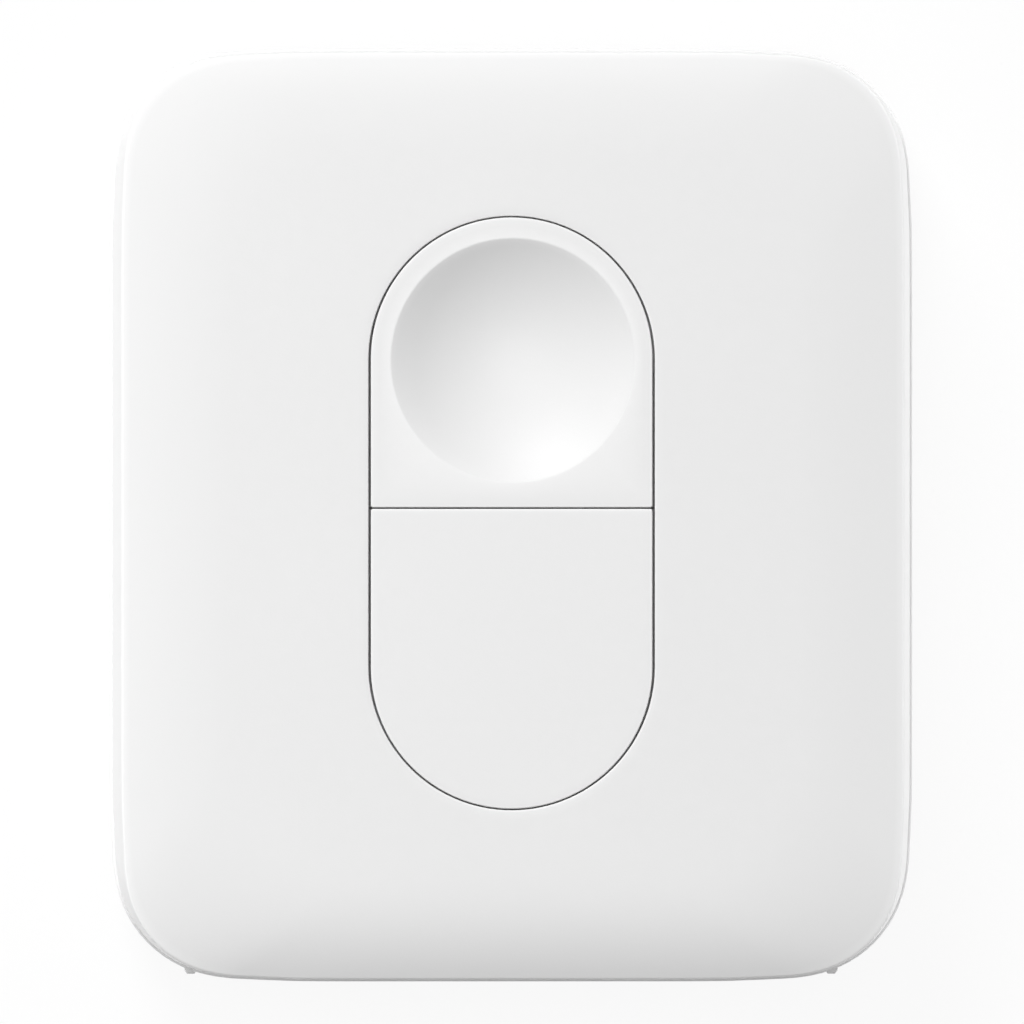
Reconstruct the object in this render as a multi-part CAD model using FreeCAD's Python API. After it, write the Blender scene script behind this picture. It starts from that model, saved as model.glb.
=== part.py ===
import FreeCAD, Part
import math
import os

# A small two-key wireless remote, lying on its back.
# X points right and Y up on the face, Z out of the face.
# The origin is the centre of the rear face. All sizes are in millimetres.

# Outer form
body_width = 37.0
body_length = 43.0
outline_corner = 6.0  # corner radius of the outline at the parting line
seam_step = 0.12  # how far the housing stands in from the cover at the parting line
side_lean = 0.43  # how far the side walls lean in from the parting line to the rim
face_fall = 0.8  # how far the face drops from its flat middle to the rim
face_roll = 5.0  # width of the rolled margin between rim and flat middle
middle_corner = 6.0  # corner radius of the flat middle
roll_steps = 4  # strips in the rolled margin
ceiling_steps = 2  # strips in the rolled margin of the ceiling inside
rim_break = 0.3  # how far the break of the rim reaches down the side and in along the face
front_wall = 1.4
side_wall = 1.5

# Aperture and keys
aperture_width = 13.1
aperture_length = 27.3
split_height = 0.24  # the gap between the keys lies this far above the middle
key_gap = 0.12
key_break = 0.12  # chamfer on the keys' outer edges
key_wall = 0.9
dimple_radius = 5.65
dimple_depth = 1.2
flange_overhang = 0.7  # how far the keys' flange reaches under the front wall
flange_thickness = 0.65
flange_gap = 0.05  # play between the flange and the front wall
key_boss_radius = 1.2
key_rib = 0.8
key_rib_lift = 0.3
collar_gap = 0.15
collar_wall = 1.0

# Parting line, lip and rear cover
seam_height = 3.4
seam_gap = 0.05
edge_break = 0.12  # small chamfers that draw the parting line
lip_height = 0.9
lip_thickness = 0.65
lip_gap = 0.05
root_depth = 0.35  # how far bosses, collar and lip are rooted in the wall that carries them
cover_floor = 1.2
cover_lean = 0.15  # how far the cover's walls lean in towards its rear face
rear_break = 0.5
rear_recess = 0.2  # shallow panel in the rear face
rear_margin = 3.0
nib_radius = 0.28
nib_proud = 0.18
nib_angle = 67.2  # place of the nibs round the lower corners, from the X axis
nib_height = 1.0
groove_width = 7.0
groove_height = 0.8
groove_depth = 0.5
groove_drop = 0.45  # how far the groove for a nail lies below the cover's edge
peg_socket = 1.05  # radius of the tray's holes for the pegs
peg_reach = 0.97  # from a peg's axis to the ends of its crossed webs
peg_web = 0.7
peg_top_gap = 1.2  # room between a peg's tip and the board
peg_tip = 0.25
cover_rib = 0.8
cover_rib_height = 0.8
cover_rib_margin = 1.4  # between the cover's wall and the rib that runs beside it
peg_spacing = 12.0
peg_edge = 2.6  # from a peg's axis to the tray's end

# Cell and its foam cushion
cell_diameter = 24.5
cell_height = 5.0
can_wall = 0.25
can_break = 0.3  # bevels where the can's sheet turns
can_height = 4.85
can_shoulder = 0.85  # how far the crimp turns in
cap_radius = 10.6
gasket_gap = 0.05
gasket_foot = 0.55
cathode_height = 2.6
separator_height = 0.13
active_inset = 0.8  # from the cap's radius to the cathode's
rest_gap = 0.05
cushion_radius = 9.0
cushion_thickness = 0.35
cushion_rib = 0.8
cushion_rib_height = 0.3

# Battery tray
cell_proud = 0.8  # how far the cell stands out of the tray's deck
deck_thickness = 1.2
pocket_gap = 0.25
pocket_wall = 0.9
ledge_width = 1.4
tray_gap = 0.15
tray_break = 0.3
skirt_wall = 0.9
socket_wall = 0.8
socket_top_gap = 0.6
notch_width = 8.0
notch_reach = 1.2
notch_depth = 2.2
notch_floor = 0.8
contact_slot = 4.2

# Board and what it carries
contact_room = 0.6  # between the cell and the board
board_thickness = 0.8
board_gap = 0.25
screw_inset = 4.0  # from the board's edges to the screws' axes
switch_size = 4.5
switch_height = 0.9
switch_floor = 0.3
switch_rim = 0.4
plunger_radius = 0.95
plunger_proud = 0.6
plunger_play = 0.15  # between the plunger's flange and the switch's pocket
pairing_size = 3.0
pairing_plunger_radius = 0.6
pairing_proud = 0.35
dome_rise = 0.25  # also how far a key can travel
dome_sheet = 0.08
plate_sheet = 0.15
sheet_gap = 0.02
pad_sheet = 0.4
pad_lift = 0.9  # the pad's sheet above the board
blister_radius = 3.2
blister_top_radius = 2.2
blister_roof = 0.36
pairing_pin_radius = 1.0
pairing_flange = 0.4
pairing_flange_height = 0.6
pairing_break = 0.2
pairing_sunk = 0.15  # how far the pin's end lies inside the deck
chip_size = 5.0
chip_height = 0.85
chip_y = 6.0
crystal_width = 2.5
crystal_length = 3.2
crystal_height = 0.7
crystal_space = 1.2  # between the chip and the crystal
part_break = 0.06
chip_mark = 0.2  # radius of the dot beside the chip's first pin
chip_mark_inset = 0.6
strip_inset = 3.6  # from the board's side edge to the middle of the parts along it
capacitor_length = 1.0
capacitor_width = 0.5
capacitor_pitch = 1.4
capacitor_count = 6
antenna_width = 2.0
antenna_length = 6.0
antenna_height = 1.1
antenna_inset = 1.8
led_length = 1.6
led_width = 0.8
led_height = 0.6
led_window = 1.0  # radius of the thinned spot above the light
led_skin = 0.7

# Screws
screw_core = 0.8
screw_head_radius = 1.7
screw_head_height = 1.1
screw_head_break = 0.3
screw_gap = 0.05
screw_bite = 2.2
boss_radius = 2.1
boss_rib = 0.8

# Contacts
contact_sheet = 0.2
contact_width = 3.6
contact_bend = 0.3
contact_foot = 0.8
contact_stand = 0.6  # from the pocket's wall to the strip's upright
contact_spring = 0.4  # how far the strip's arm swings back from the can
contact_lift = 0.6  # from the deck's outer face to the strip's lower bend
leaf_curl = 0.6
leaf_width = 3.0
leaf_half_span = 7.0
leaf_base = 2.6

# Heights that follow from what lies under them
cell_low = cover_floor + cushion_thickness + rest_gap
cell_high = cell_low + cell_height
deck_low = cell_low + cell_proud
deck_high = deck_low + deck_thickness
board_low = cell_high + contact_room
board_high = board_low + board_thickness
pad_low = board_high + pad_lift
pad_high = pad_low + pad_sheet
plunger_top = board_high + switch_height + plunger_proud
blister_top = plunger_top + sheet_gap + blister_roof
key_low = blister_top + sheet_gap
wall_low = key_low + flange_thickness + flange_gap
body_height = wall_low + front_wall
rim_height = body_height - face_fall

# Places in the plane that follow from the outer form and the cell
half_width = body_width / 2
half_length = body_length / 2
cell_radius = cell_diameter / 2
pocket_radius = cell_radius + pocket_gap
ring_radius = pocket_radius + pocket_wall
key_arc = (aperture_length - aperture_width) / 2


def lean_at(height):
    """How far the housing's side wall stands in from the outline at a height."""
    return seam_step + side_lean * (height - seam_height) / (rim_height - seam_height)


board_inset = lean_at(board_high) + side_wall + board_gap
board_half_width = half_width - board_inset
board_half_length = half_length - board_inset
tray_inset = lean_at(board_low) + side_wall + tray_gap
tray_half_width = half_width - tray_inset
tray_half_length = half_length - tray_inset
screw_x = board_half_width - screw_inset
screw_y = board_half_length - screw_inset
peg_x = peg_spacing / 2
peg_y = tray_half_length - peg_edge
pairing_y = -(ring_radius + tray_half_length - skirt_wall) / 2
strip_x = board_half_width - strip_inset
collar_radius = aperture_width / 2 + flange_overhang + collar_gap + collar_wall
led_y = (key_arc + collar_radius + board_half_length) / 2
contact_root = ring_radius + contact_stand

UP = FreeCAD.Vector(0, 0, 1)


def point(x, y, z=0.0):
    return FreeCAD.Vector(x, y, z)


def line(start, end):
    return Part.LineSegment(start, end).toShape()


def arc(start, middle, end):
    return Part.Arc(start, middle, end).toShape()


def rounded_rectangle(half_x, half_y, corner, z=0.0):
    """A closed wire of four straight sides and four round corners."""
    edges = []
    bend = corner * (1 - math.sqrt(0.5))
    turns = [(1, 1), (-1, 1), (-1, -1), (1, -1)]
    for turn, (sx, sy) in enumerate(turns):
        side = point(sx * half_x, sy * (half_y - corner), z)
        middle = point(sx * (half_x - bend), sy * (half_y - bend), z)
        end = point(sx * (half_x - corner), sy * half_y, z)
        first, last = (side, end) if turn % 2 == 0 else (end, side)
        if edges:
            edges.append(line(edges[-1].lastVertex().Point, first))
        edges.append(arc(first, middle, last))
    edges.append(line(edges[-1].lastVertex().Point, edges[0].firstVertex().Point))
    return Part.Wire(edges)


def outline(inset, z):
    """The body's outline at the parting line, drawn in by an inset."""
    return rounded_rectangle(half_width - inset, half_length - inset, outline_corner - inset, z)


def stadium(radius, arc_y, z=0.0):
    """A closed wire of two half circles about (0, arc_y) and (0, -arc_y), joined by straight sides."""
    right_low = point(radius, -arc_y, z)
    right_high = point(radius, arc_y, z)
    left_high = point(-radius, arc_y, z)
    left_low = point(-radius, -arc_y, z)
    edges = [
        line(right_low, right_high),
        arc(right_high, point(0, arc_y + radius, z), left_high),
        line(left_high, left_low),
        arc(left_low, point(0, -arc_y - radius, z), right_low),
    ]
    return Part.Wire(edges)


def half_stadium(radius, arc_y, cut_y, z=0.0):
    """A closed wire of one half circle about (0, arc_y) and straight sides down to a cut at cut_y."""
    side = 1 if arc_y > cut_y else -1
    edges = [
        line(point(-radius, cut_y, z), point(radius, cut_y, z)),
        line(point(radius, cut_y, z), point(radius, arc_y, z)),
        arc(point(radius, arc_y, z), point(0, arc_y + side * radius, z), point(-radius, arc_y, z)),
        line(point(-radius, arc_y, z), point(-radius, cut_y, z)),
    ]
    return Part.Wire(edges)


def rise(wire, height):
    """The solid above a flat closed wire."""
    return Part.Face(wire).extrude(point(0, 0, height))


def rod(radius, low, high, x=0.0, y=0.0):
    return Part.makeCylinder(radius, high - low, point(x, y, low), UP)


def block(x_low, x_high, y_low, y_high, z_low, z_high):
    return Part.makeBox(x_high - x_low, y_high - y_low, z_high - z_low, point(x_low, y_low, z_low))


def turned(profile):
    """A solid of revolution about the Z axis from corners (radius, height, bevel)."""
    corners = [point(radius, 0, height) for radius, height, bevel in profile]
    section = []
    for number, (radius, height, bevel) in enumerate(profile):
        here = corners[number]
        if bevel:
            before = corners[number - 1]
            after = corners[(number + 1) % len(corners)]
            section.append(here + (before - here).normalize() * bevel)
            section.append(here + (after - here).normalize() * bevel)
        else:
            section.append(here)
    face = Part.Face(Part.makePolygon(section + section[:1]))
    return face.revolve(point(0, 0, 0), UP, 360)


def four_places(x, y):
    return [(x, y), (-x, y), (-x, -y), (x, -y)]


def save(name, shape):
    """Writes one node and prints its volume."""
    shape.exportStep("parts/" + name + ".step")
    print(name, len(shape.Solids), round(shape.Volume, 3), shape.isValid())


def pillow(inset, drop, bottom, steps):
    """The closed outer form, drawn in by inset at the sides and by drop at the face.

    The side leans in from the parting line to the broken rim, and the face rolls over
    to the flat middle in strips that follow one circular arc. The flat middle keeps its size.
    """
    side_top = rim_height - drop - rim_break
    rim_inset = lean_at(rim_height)
    middle_x = half_width - rim_inset - face_roll
    middle_y = half_length - rim_inset - face_roll
    rim_corner = outline_corner - rim_inset - inset
    roll = face_roll - inset
    radius = (roll**2 + face_fall**2) / (2 * face_fall)
    sections = [
        outline(inset + lean_at(bottom), bottom),
        outline(inset + lean_at(side_top), side_top),
    ]
    for step in range(steps + 1):
        share = 1 - step / steps
        reach = (roll - rim_break) * share
        height = body_height - drop - radius + math.sqrt(radius**2 - reach**2)
        corner = middle_corner + (rim_corner - middle_corner) * share
        sections.append(rounded_rectangle(middle_x + reach, middle_y + reach, corner, height))
    return Part.makeLoft(sections, True, True)


def edges_at(shape, height):
    """The flat edges of a shape that lie at a height."""
    found = []
    for edge in shape.Edges:
        box = edge.BoundBox
        if abs(box.ZMin - height) < 1e-4 and abs(box.ZMax - height) < 1e-4:
            found.append(edge)
    return found


def front_housing():
    """The moulded front: drafted walls, pillow face, aperture with its collar, lip and screw bosses."""
    outer = pillow(0.0, 0.0, seam_height, roll_steps)
    outer = outer.makeChamfer(edge_break, edges_at(outer, seam_height))
    cavity = pillow(side_wall, front_wall, seam_height - lip_height, ceiling_steps)
    shell = outer.cut(cavity)

    lip_inset = side_wall + seam_step - lip_thickness
    lip_low = seam_height - lip_height
    lip = rise(outline(lip_inset, lip_low), lip_height + root_depth).cut(cavity)

    bore_radius = collar_radius - collar_wall
    inside = rise(stadium(collar_radius, key_arc, pad_high), wall_low + root_depth - pad_high)
    inside = inside.cut(rise(stadium(bore_radius, key_arc, pad_high), wall_low - pad_high))
    for x, y in four_places(screw_x, screw_y):
        inside = inside.fuse(rod(boss_radius, board_high, wall_low + root_depth, x, y))
        reach = half_width - side_wall / 2
        low_x, high_x = sorted([x, math.copysign(reach, x)])
        rib = block(low_x, high_x, y - boss_rib / 2, y + boss_rib / 2, board_high, wall_low)
        inside = inside.fuse(rib.common(cavity))
    shell = shell.fuse(inside).fuse(lip)

    shell = shell.cut(rise(stadium(aperture_width / 2, key_arc, wall_low), front_wall * 2))
    hole_top = board_high + screw_bite + screw_gap
    for x, y in four_places(screw_x, screw_y):
        shell = shell.cut(rod(screw_core + screw_gap, board_high, hole_top, x, y))
    window_top = body_height - led_skin
    shell = shell.cut(rod(led_window, board_high + led_height, window_top, 0, led_y))
    return shell.removeSplitter()


def key_outline(side, grow, z):
    """Outline of the upper (side 1) or lower (side -1) key, grown outwards everywhere but at the split."""
    radius = aperture_width / 2 - key_gap + grow
    cut_y = split_height + side * (key_gap / 2 - min(grow, 0))
    return half_stadium(radius, side * key_arc, cut_y, z)


def key(side):
    """A moulded key: cap, flange under the front wall, cored-out underside and a boss on the pad.

    The upper key is solid under its dimple, which leaves pockets only in its corners.
    """
    cap = rise(key_outline(side, 0.0, key_low), body_height - key_low)
    cap = cap.makeChamfer(key_break, edges_at(cap, body_height))
    cap = cap.fuse(rise(key_outline(side, key_gap + flange_overhang, key_low), flange_thickness))
    pocket = rise(key_outline(side, -key_wall, key_low), body_height - key_wall - key_low)
    if side > 0:
        sphere_radius = (dimple_radius**2 + dimple_depth**2) / (2 * dimple_depth)
        centre = point(0, key_arc, body_height - dimple_depth + sphere_radius)
        cap = cap.cut(Part.makeSphere(sphere_radius, centre))
        pocket = pocket.cut(rod(dimple_radius, key_low, body_height, 0, key_arc))
    else:
        low = key_low + key_rib_lift
        half_rib = key_rib / 2
        cross_rib = block(-aperture_width / 2, aperture_width / 2, -half_rib, half_rib, low, body_height)
        long_rib = block(-half_rib, half_rib, -key_arc, key_arc, low, body_height)
        ribs = cross_rib.fuse(long_rib).fuse(rod(key_boss_radius, key_low, body_height))
        ribs.translate(point(0, side * key_arc, 0))
        pocket = pocket.cut(ribs)
    return cap.cut(pocket).removeSplitter()


def keypad():
    """The soft pad: a sheet on a skirt, with a hollow blister over each switch."""
    pad = rise(stadium(collar_radius, key_arc, board_high), pad_high - board_high)
    inner_radius = collar_radius - collar_wall
    pad = pad.cut(rise(stadium(inner_radius, key_arc, board_high), pad_low - board_high))
    for side in (1, -1):
        centre = point(0, side * key_arc, pad_high)
        rise_height = blister_top - pad_high
        pad = pad.fuse(Part.makeCone(blister_radius, blister_top_radius, rise_height, centre, UP))
        hollow_low = blister_radius - pad_sheet
        hollow_top = blister_top_radius - pad_sheet
        hollow_high = plunger_top + sheet_gap - pad_low
        centre = point(0, side * key_arc, pad_low)
        pad = pad.cut(Part.makeCone(hollow_low, hollow_top, hollow_high, centre, UP))
    return pad.removeSplitter()


def square(half, low, high):
    return block(-half, half, -half, half, low, high)


def switch(size, pin_radius, proud):
    """The four pieces of a tact switch that stands on z = 0 and is pressed from above."""
    half = size / 2
    plate_low = switch_height - plate_sheet
    pocket = half - switch_rim
    base = square(half, 0, plate_low).cut(rod(pocket, switch_floor, plate_low))
    plate = square(half, plate_low, switch_height)
    plate = plate.cut(rod(pin_radius + screw_gap, plate_low, switch_height))

    foot = pocket - screw_gap
    crown = foot / 2
    crown_high = switch_floor + dome_rise
    dome = turned([
        (foot, switch_floor, 0),
        (crown, crown_high, 0),
        (0, crown_high, 0),
        (0, crown_high - dome_sheet, 0),
        (crown - dome_sheet, crown_high - dome_sheet, 0),
        (foot - 2 * dome_sheet, switch_floor, 0),
    ])

    low = crown_high + sheet_gap
    plunger = rod(pin_radius, low, switch_height + proud)
    plunger = plunger.fuse(rod(pocket - plunger_play, low, plate_low - sheet_gap))
    return {"base": base, "dome": dome, "plunger": plunger.removeSplitter(), "plate": plate}


def circuit_board():
    """The board, with a hole for each screw."""
    board = rise(outline(board_inset, board_low), board_thickness)
    for x, y in four_places(screw_x, screw_y):
        board = board.cut(rod(screw_core + 2 * screw_gap, board_low, board_high, x, y))
    return board


def packaged_part(size_x, size_y, height, x, y):
    """A small surface-mounted part on the front of the board, with bevelled top edges."""
    top = board_high + height
    body = block(x - size_x / 2, x + size_x / 2, y - size_y / 2, y + size_y / 2, board_high, top)
    return body.makeChamfer(part_break, edges_at(body, top))


def radio_chip():
    """The square radio chip, with the small round mark that shows its first pin."""
    chip = packaged_part(chip_size, chip_size, chip_height, strip_x, chip_y)
    mark = chip_size / 2 - chip_mark_inset
    top = board_high + chip_height
    return chip.cut(rod(chip_mark, top - part_break, top, strip_x - mark, chip_y + mark))


def crystal():
    """The crystal in its metal can, beside the chip."""
    y = chip_y - chip_size / 2 - crystal_space - crystal_width / 2
    return packaged_part(crystal_length, crystal_width, crystal_height, strip_x, y)


def chip_capacitors():
    """A row of small capacitors below the crystal, one solid each."""
    first_y = chip_y - chip_size / 2 - crystal_space * 2 - crystal_width - capacitor_pitch / 2
    row = []
    for number in range(capacitor_count):
        y = first_y - number * capacitor_pitch
        row.append(packaged_part(capacitor_length, capacitor_width, capacitor_width, strip_x, y))
    return Part.makeCompound(row)


def chip_antenna():
    """The ceramic antenna at the free side of the board."""
    x = antenna_inset - board_half_width
    return packaged_part(antenna_width, antenna_length, antenna_height, x, chip_y)


def status_led():
    """The light behind the thinned spot of the face."""
    return packaged_part(led_length, led_width, led_height, 0, led_y)


def battery_tray():
    """The moulded tray: deck, skirt, cell pocket with its ledge, screw columns and peg sockets."""
    inside = rise(outline(tray_inset + skirt_wall, deck_high), board_low - deck_high)
    tray = rise(outline(tray_inset, deck_low), board_low - deck_low).cut(inside)
    tray = tray.makeChamfer(tray_break, edges_at(tray, deck_low))
    tray = tray.fuse(rod(ring_radius, deck_low, board_low))

    notch_x = ring_radius + notch_reach
    cup_y = notch_width / 2 + notch_floor
    cup_top = deck_low + notch_depth + notch_floor
    tray = tray.fuse(block(0, tray_half_width - skirt_wall / 2, -cup_y, cup_y, deck_high, cup_top))
    socket_radius = peg_socket + socket_wall
    for x, y in four_places(peg_x, peg_y):
        tray = tray.fuse(rod(socket_radius, deck_low, board_low - socket_top_gap, x, y))
    for x, y in four_places(screw_x, screw_y):
        tray = tray.fuse(rod(boss_radius, deck_low, board_low, x, y))
    guide_radius = pairing_pin_radius + pairing_flange
    guide_top = deck_high + pairing_flange_height

    ledge = cell_low + can_height + rest_gap
    tray = tray.cut(rod(pocket_radius, 0, ledge))
    tray = tray.cut(rod(pocket_radius - ledge_width, 0, board_low))
    scoop = rise(rounded_rectangle(notch_x, notch_width / 2, notch_width / 4, deck_low), notch_depth)
    tray = tray.cut(scoop.common(block(0, half_width, -half_length, half_length, 0, body_height)))
    slot_end = contact_root + contact_foot + contact_sheet
    tray = tray.cut(block(-contact_slot / 2, contact_slot / 2, 0, slot_end, 0, board_low))
    for x, y in four_places(peg_x, peg_y):
        tray = tray.cut(rod(peg_socket, 0, board_low, x, y))
    for x, y in four_places(screw_x, screw_y):
        tray = tray.cut(rod(screw_core + screw_gap * 2, 0, board_low, x, y))
        tray = tray.cut(rod(screw_head_radius + screw_gap, 0, deck_low + screw_head_height, x, y))
    tray = tray.cut(rod(pairing_pin_radius + screw_gap, 0, guide_top, 0, pairing_y))
    tray = tray.cut(rod(guide_radius + screw_gap, deck_high, board_low, 0, pairing_y))
    return tray.removeSplitter()


def tray_screws():
    """Four self-tapping screws, one solid each."""
    screws = []
    for x, y in four_places(screw_x, screw_y):
        seat = deck_low + screw_head_height
        head = rod(screw_head_radius, deck_low, seat, x, y)
        head = head.makeChamfer(screw_head_break, edges_at(head, deck_low))
        screws.append(head.fuse(rod(screw_core, seat, board_high + screw_bite, x, y)).removeSplitter())
    return Part.makeCompound(screws)


def pairing_button():
    """The small pin in the tray that reaches the switch on the rear of the board."""
    tip = board_low - switch_height - pairing_proud - sheet_gap
    low = deck_low + pairing_sunk
    pin = rod(pairing_pin_radius, low, tip, 0, pairing_y)
    pin = pin.makeChamfer(pairing_break, edges_at(pin, low))
    flange_low = deck_high + sheet_gap
    flange_high = flange_low + pairing_flange_height
    flange = rod(pairing_pin_radius + pairing_flange, flange_low, flange_high, 0, pairing_y)
    return pin.fuse(flange).removeSplitter()


def round_corner(before, here, after, bend):
    """The start, middle and end of the arc that rounds the corner at a point."""
    back = (before - here).normalize()
    ahead = (after - here).normalize()
    half_turn = back.getAngle(ahead) / 2
    cut = bend / math.tan(half_turn)
    middle = here + (back + ahead).normalize() * (bend / math.sin(half_turn) - bend)
    return here + back * cut, middle, here + ahead * cut


def bent_strip(points, width):
    """A strip of sheet metal along a path in the YZ plane with rounded bends, centred on that plane."""
    edges = []
    start = points[0]
    for before, here, after in zip(points, points[1:], points[2:]):
        first, middle, last = round_corner(before, here, after, contact_bend)
        edges.append(line(start, first))
        edges.append(arc(first, middle, last))
        start = last
    edges.append(line(start, points[-1]))
    face = Part.Wire(edges).makeOffset2D(contact_sheet, 0, True, True)
    strip = face.extrude(point(width, 0, 0))
    strip.translate(point(-width / 2, 0, 0))
    return strip


def positive_contact():
    """A spring strip that stands in the tray's slot and presses on the side of the can."""
    can_side = cell_radius + sheet_gap
    high = board_low - contact_sheet
    low = deck_low + contact_lift
    return bent_strip([
        point(0, contact_root + contact_foot, high),
        point(0, contact_root, high),
        point(0, contact_root, low),
        point(0, can_side + contact_spring, low),
        point(0, can_side, cell_low + cell_height / 2),
        point(0, can_side + contact_spring, cell_high - contact_bend),
    ], contact_width)


def negative_contact():
    """A leaf spring under the board with two arms that press on the cell's cap."""
    low = cell_high + sheet_gap
    high = board_low - contact_sheet
    tip = leaf_half_span - leaf_curl
    leaf = bent_strip([
        point(0, leaf_half_span, low + contact_sheet / 2),
        point(0, tip, low),
        point(0, leaf_base, high),
        point(0, -leaf_base, high),
        point(0, -tip, low),
        point(0, -leaf_half_span, low + contact_sheet / 2),
    ], leaf_width)
    leaf.rotate(point(0, 0, 0), UP, 90)
    return leaf


def cell_parts():
    """The coin cell: crimped can, cap, gasket ring and the three discs sealed inside."""
    shoulder = can_height - can_shoulder
    inner = cell_radius - can_wall
    crimp = cell_radius - can_shoulder
    can = turned([
        (0, 0, 0),
        (cell_radius, 0, can_break),
        (cell_radius, shoulder, can_break),
        (crimp, can_height, 0),
        (crimp, can_height - can_wall, 0),
        (inner, shoulder - can_wall / 2, 0),
        (inner, can_wall, 0),
        (0, can_wall, 0),
    ])
    cap_inner = cap_radius - can_wall
    foot_high = can_wall + gasket_foot + gasket_gap
    cap = turned([
        (0, cell_height - can_wall, 0),
        (cap_inner, cell_height - can_wall, 0),
        (cap_inner, foot_high + gasket_gap, 0),
        (cap_radius, foot_high + gasket_gap, 0),
        (cap_radius, cell_height, can_break),
        (0, cell_height, 0),
    ])
    lining = cap_radius + gasket_gap
    foot = cap_radius - active_inset + gasket_gap
    outside = inner - gasket_gap
    gasket = turned([
        (foot, can_wall + gasket_gap, 0),
        (outside, can_wall + gasket_gap, 0),
        (outside, shoulder - can_wall, 0),
        (lining, can_height - can_wall - 2 * gasket_gap, 0),
        (lining, foot_high, 0),
        (foot, foot_high, 0),
    ])
    active_radius = cap_radius - active_inset - gasket_gap
    cathode_low = can_wall + sheet_gap
    cathode_high = cathode_low + cathode_height
    separator_high = cathode_high + sheet_gap + separator_height
    cathode = rod(active_radius, cathode_low, cathode_high)
    separator = rod(active_radius, cathode_high + sheet_gap, separator_high)
    anode = rod(active_radius, separator_high + sheet_gap, cell_height - can_wall - sheet_gap)
    pieces = {
        "can": can,
        "cap": cap,
        "gasket": gasket,
        "cathode": cathode,
        "separator": separator,
        "anode": anode,
    }
    for piece in pieces.values():
        piece.translate(point(0, 0, cell_low))
    return pieces


def cross_peg(x, y):
    """A peg of two crossed webs, as moulded pegs are, with broken tips."""
    top = board_low - peg_top_gap
    web = block(-peg_reach, peg_reach, -peg_web / 2, peg_web / 2, cover_floor, top)
    tips = [edge for edge in edges_at(web, top) if edge.Length < peg_reach]
    web = web.makeChamfer(peg_tip, tips)
    cross_web = web.copy()
    cross_web.rotate(point(0, 0, 0), UP, 90)
    peg = web.fuse(cross_web)
    peg.translate(point(x, y, 0))
    return peg


def rear_cover():
    """The moulded tub that closes the back, with its pegs, rebate for the lip, nail groove and nibs.

    It stands out a little beyond the housing, which draws the parting line.
    """
    top = seam_height - seam_gap
    cover = Part.makeLoft([outline(cover_lean, 0), outline(0, top)], True, True)
    cover = cover.makeChamfer(rear_break, edges_at(cover, 0))
    cover = cover.makeChamfer(edge_break, edges_at(cover, top))
    turn = math.radians(nib_angle)
    nib_reach = outline_corner + nib_proud - nib_radius
    nib_x = half_width - outline_corner + nib_reach * math.cos(turn)
    nib_y = -(half_length - outline_corner + nib_reach * math.sin(turn))
    for x in (nib_x, -nib_x):
        nib_high = top - edge_break
        cover = cover.fuse(rod(nib_radius, nib_high - nib_height, nib_high, x, nib_y))

    cover = cover.cut(rise(outline(side_wall, cover_floor), seam_height))
    rebate_inset = side_wall + seam_step - lip_thickness - lip_gap
    rebate_low = seam_height - lip_height - lip_gap
    cover = cover.cut(rise(outline(rebate_inset, rebate_low), seam_height))
    cover = cover.cut(rise(outline(rear_margin, 0), rear_recess))
    groove_top = top - groove_drop
    cover = cover.cut(block(-groove_width / 2, groove_width / 2, -half_length - 1,
                            -half_length + groove_depth, groove_top - groove_height, groove_top))
    ring = rod(cushion_radius + cushion_rib + lip_gap, cover_floor, cover_floor + cushion_rib_height)
    cover = cover.fuse(ring.cut(rod(cushion_radius + lip_gap, cover_floor, seam_height)))
    rib_inset = side_wall + cover_rib_margin
    rib = rise(outline(rib_inset, cover_floor), cover_rib_height)
    rib = rib.cut(rise(outline(rib_inset + cover_rib, cover_floor), cover_rib_height))
    cover = cover.fuse(rib)
    for x, y in four_places(peg_x, peg_y):
        cover = cover.fuse(cross_peg(x, y))
    return cover.removeSplitter()


def main():
    os.makedirs("parts", exist_ok=True)
    save("front_housing", front_housing())
    save("upper_button", key(1))
    save("lower_button", key(-1))
    save("silicone_keypad", keypad())
    save("circuit_board", circuit_board())
    for name, side in (("upper", 1), ("lower", -1)):
        for piece, shape in switch(switch_size, plunger_radius, plunger_proud).items():
            shape.translate(point(0, side * key_arc, board_high))
            save(name + "_switch_" + piece, shape)
    for piece, shape in switch(pairing_size, pairing_plunger_radius, pairing_proud).items():
        shape.rotate(point(0, 0, 0), FreeCAD.Vector(1, 0, 0), 180)
        shape.translate(point(0, pairing_y, board_low))
        save("pairing_switch_" + piece, shape)
    save("radio_chip", radio_chip())
    save("crystal", crystal())
    save("chip_capacitors", chip_capacitors())
    save("chip_antenna", chip_antenna())
    save("status_led", status_led())
    save("pairing_button", pairing_button())
    save("battery_tray", battery_tray())
    save("tray_screws", tray_screws())
    save("positive_contact", positive_contact())
    save("negative_contact", negative_contact())
    for piece, shape in cell_parts().items():
        save("cell_" + piece, shape)
    save("rear_cover", rear_cover())
    cushion = rod(cushion_radius, cover_floor, cover_floor + cushion_thickness)
    save("cell_cushion", cushion)
    print("height", body_height)


main()
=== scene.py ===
# %% [markdown]
# # A small two-key wireless remote
#
# The remote is a flat white pillow, 37 mm wide and 43 mm long, with two keys that fill one
# stadium-shaped opening. Under the shell there is a cell, a tray, a board and a few switches.
# This lesson dresses the imported solids: it loads them, builds smoother and
# finer meshes where a visitor will look, and gives every piece a procedural finish.
# All sizes are written in millimetres and turned into metres when a mesh is made.

import math

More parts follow.
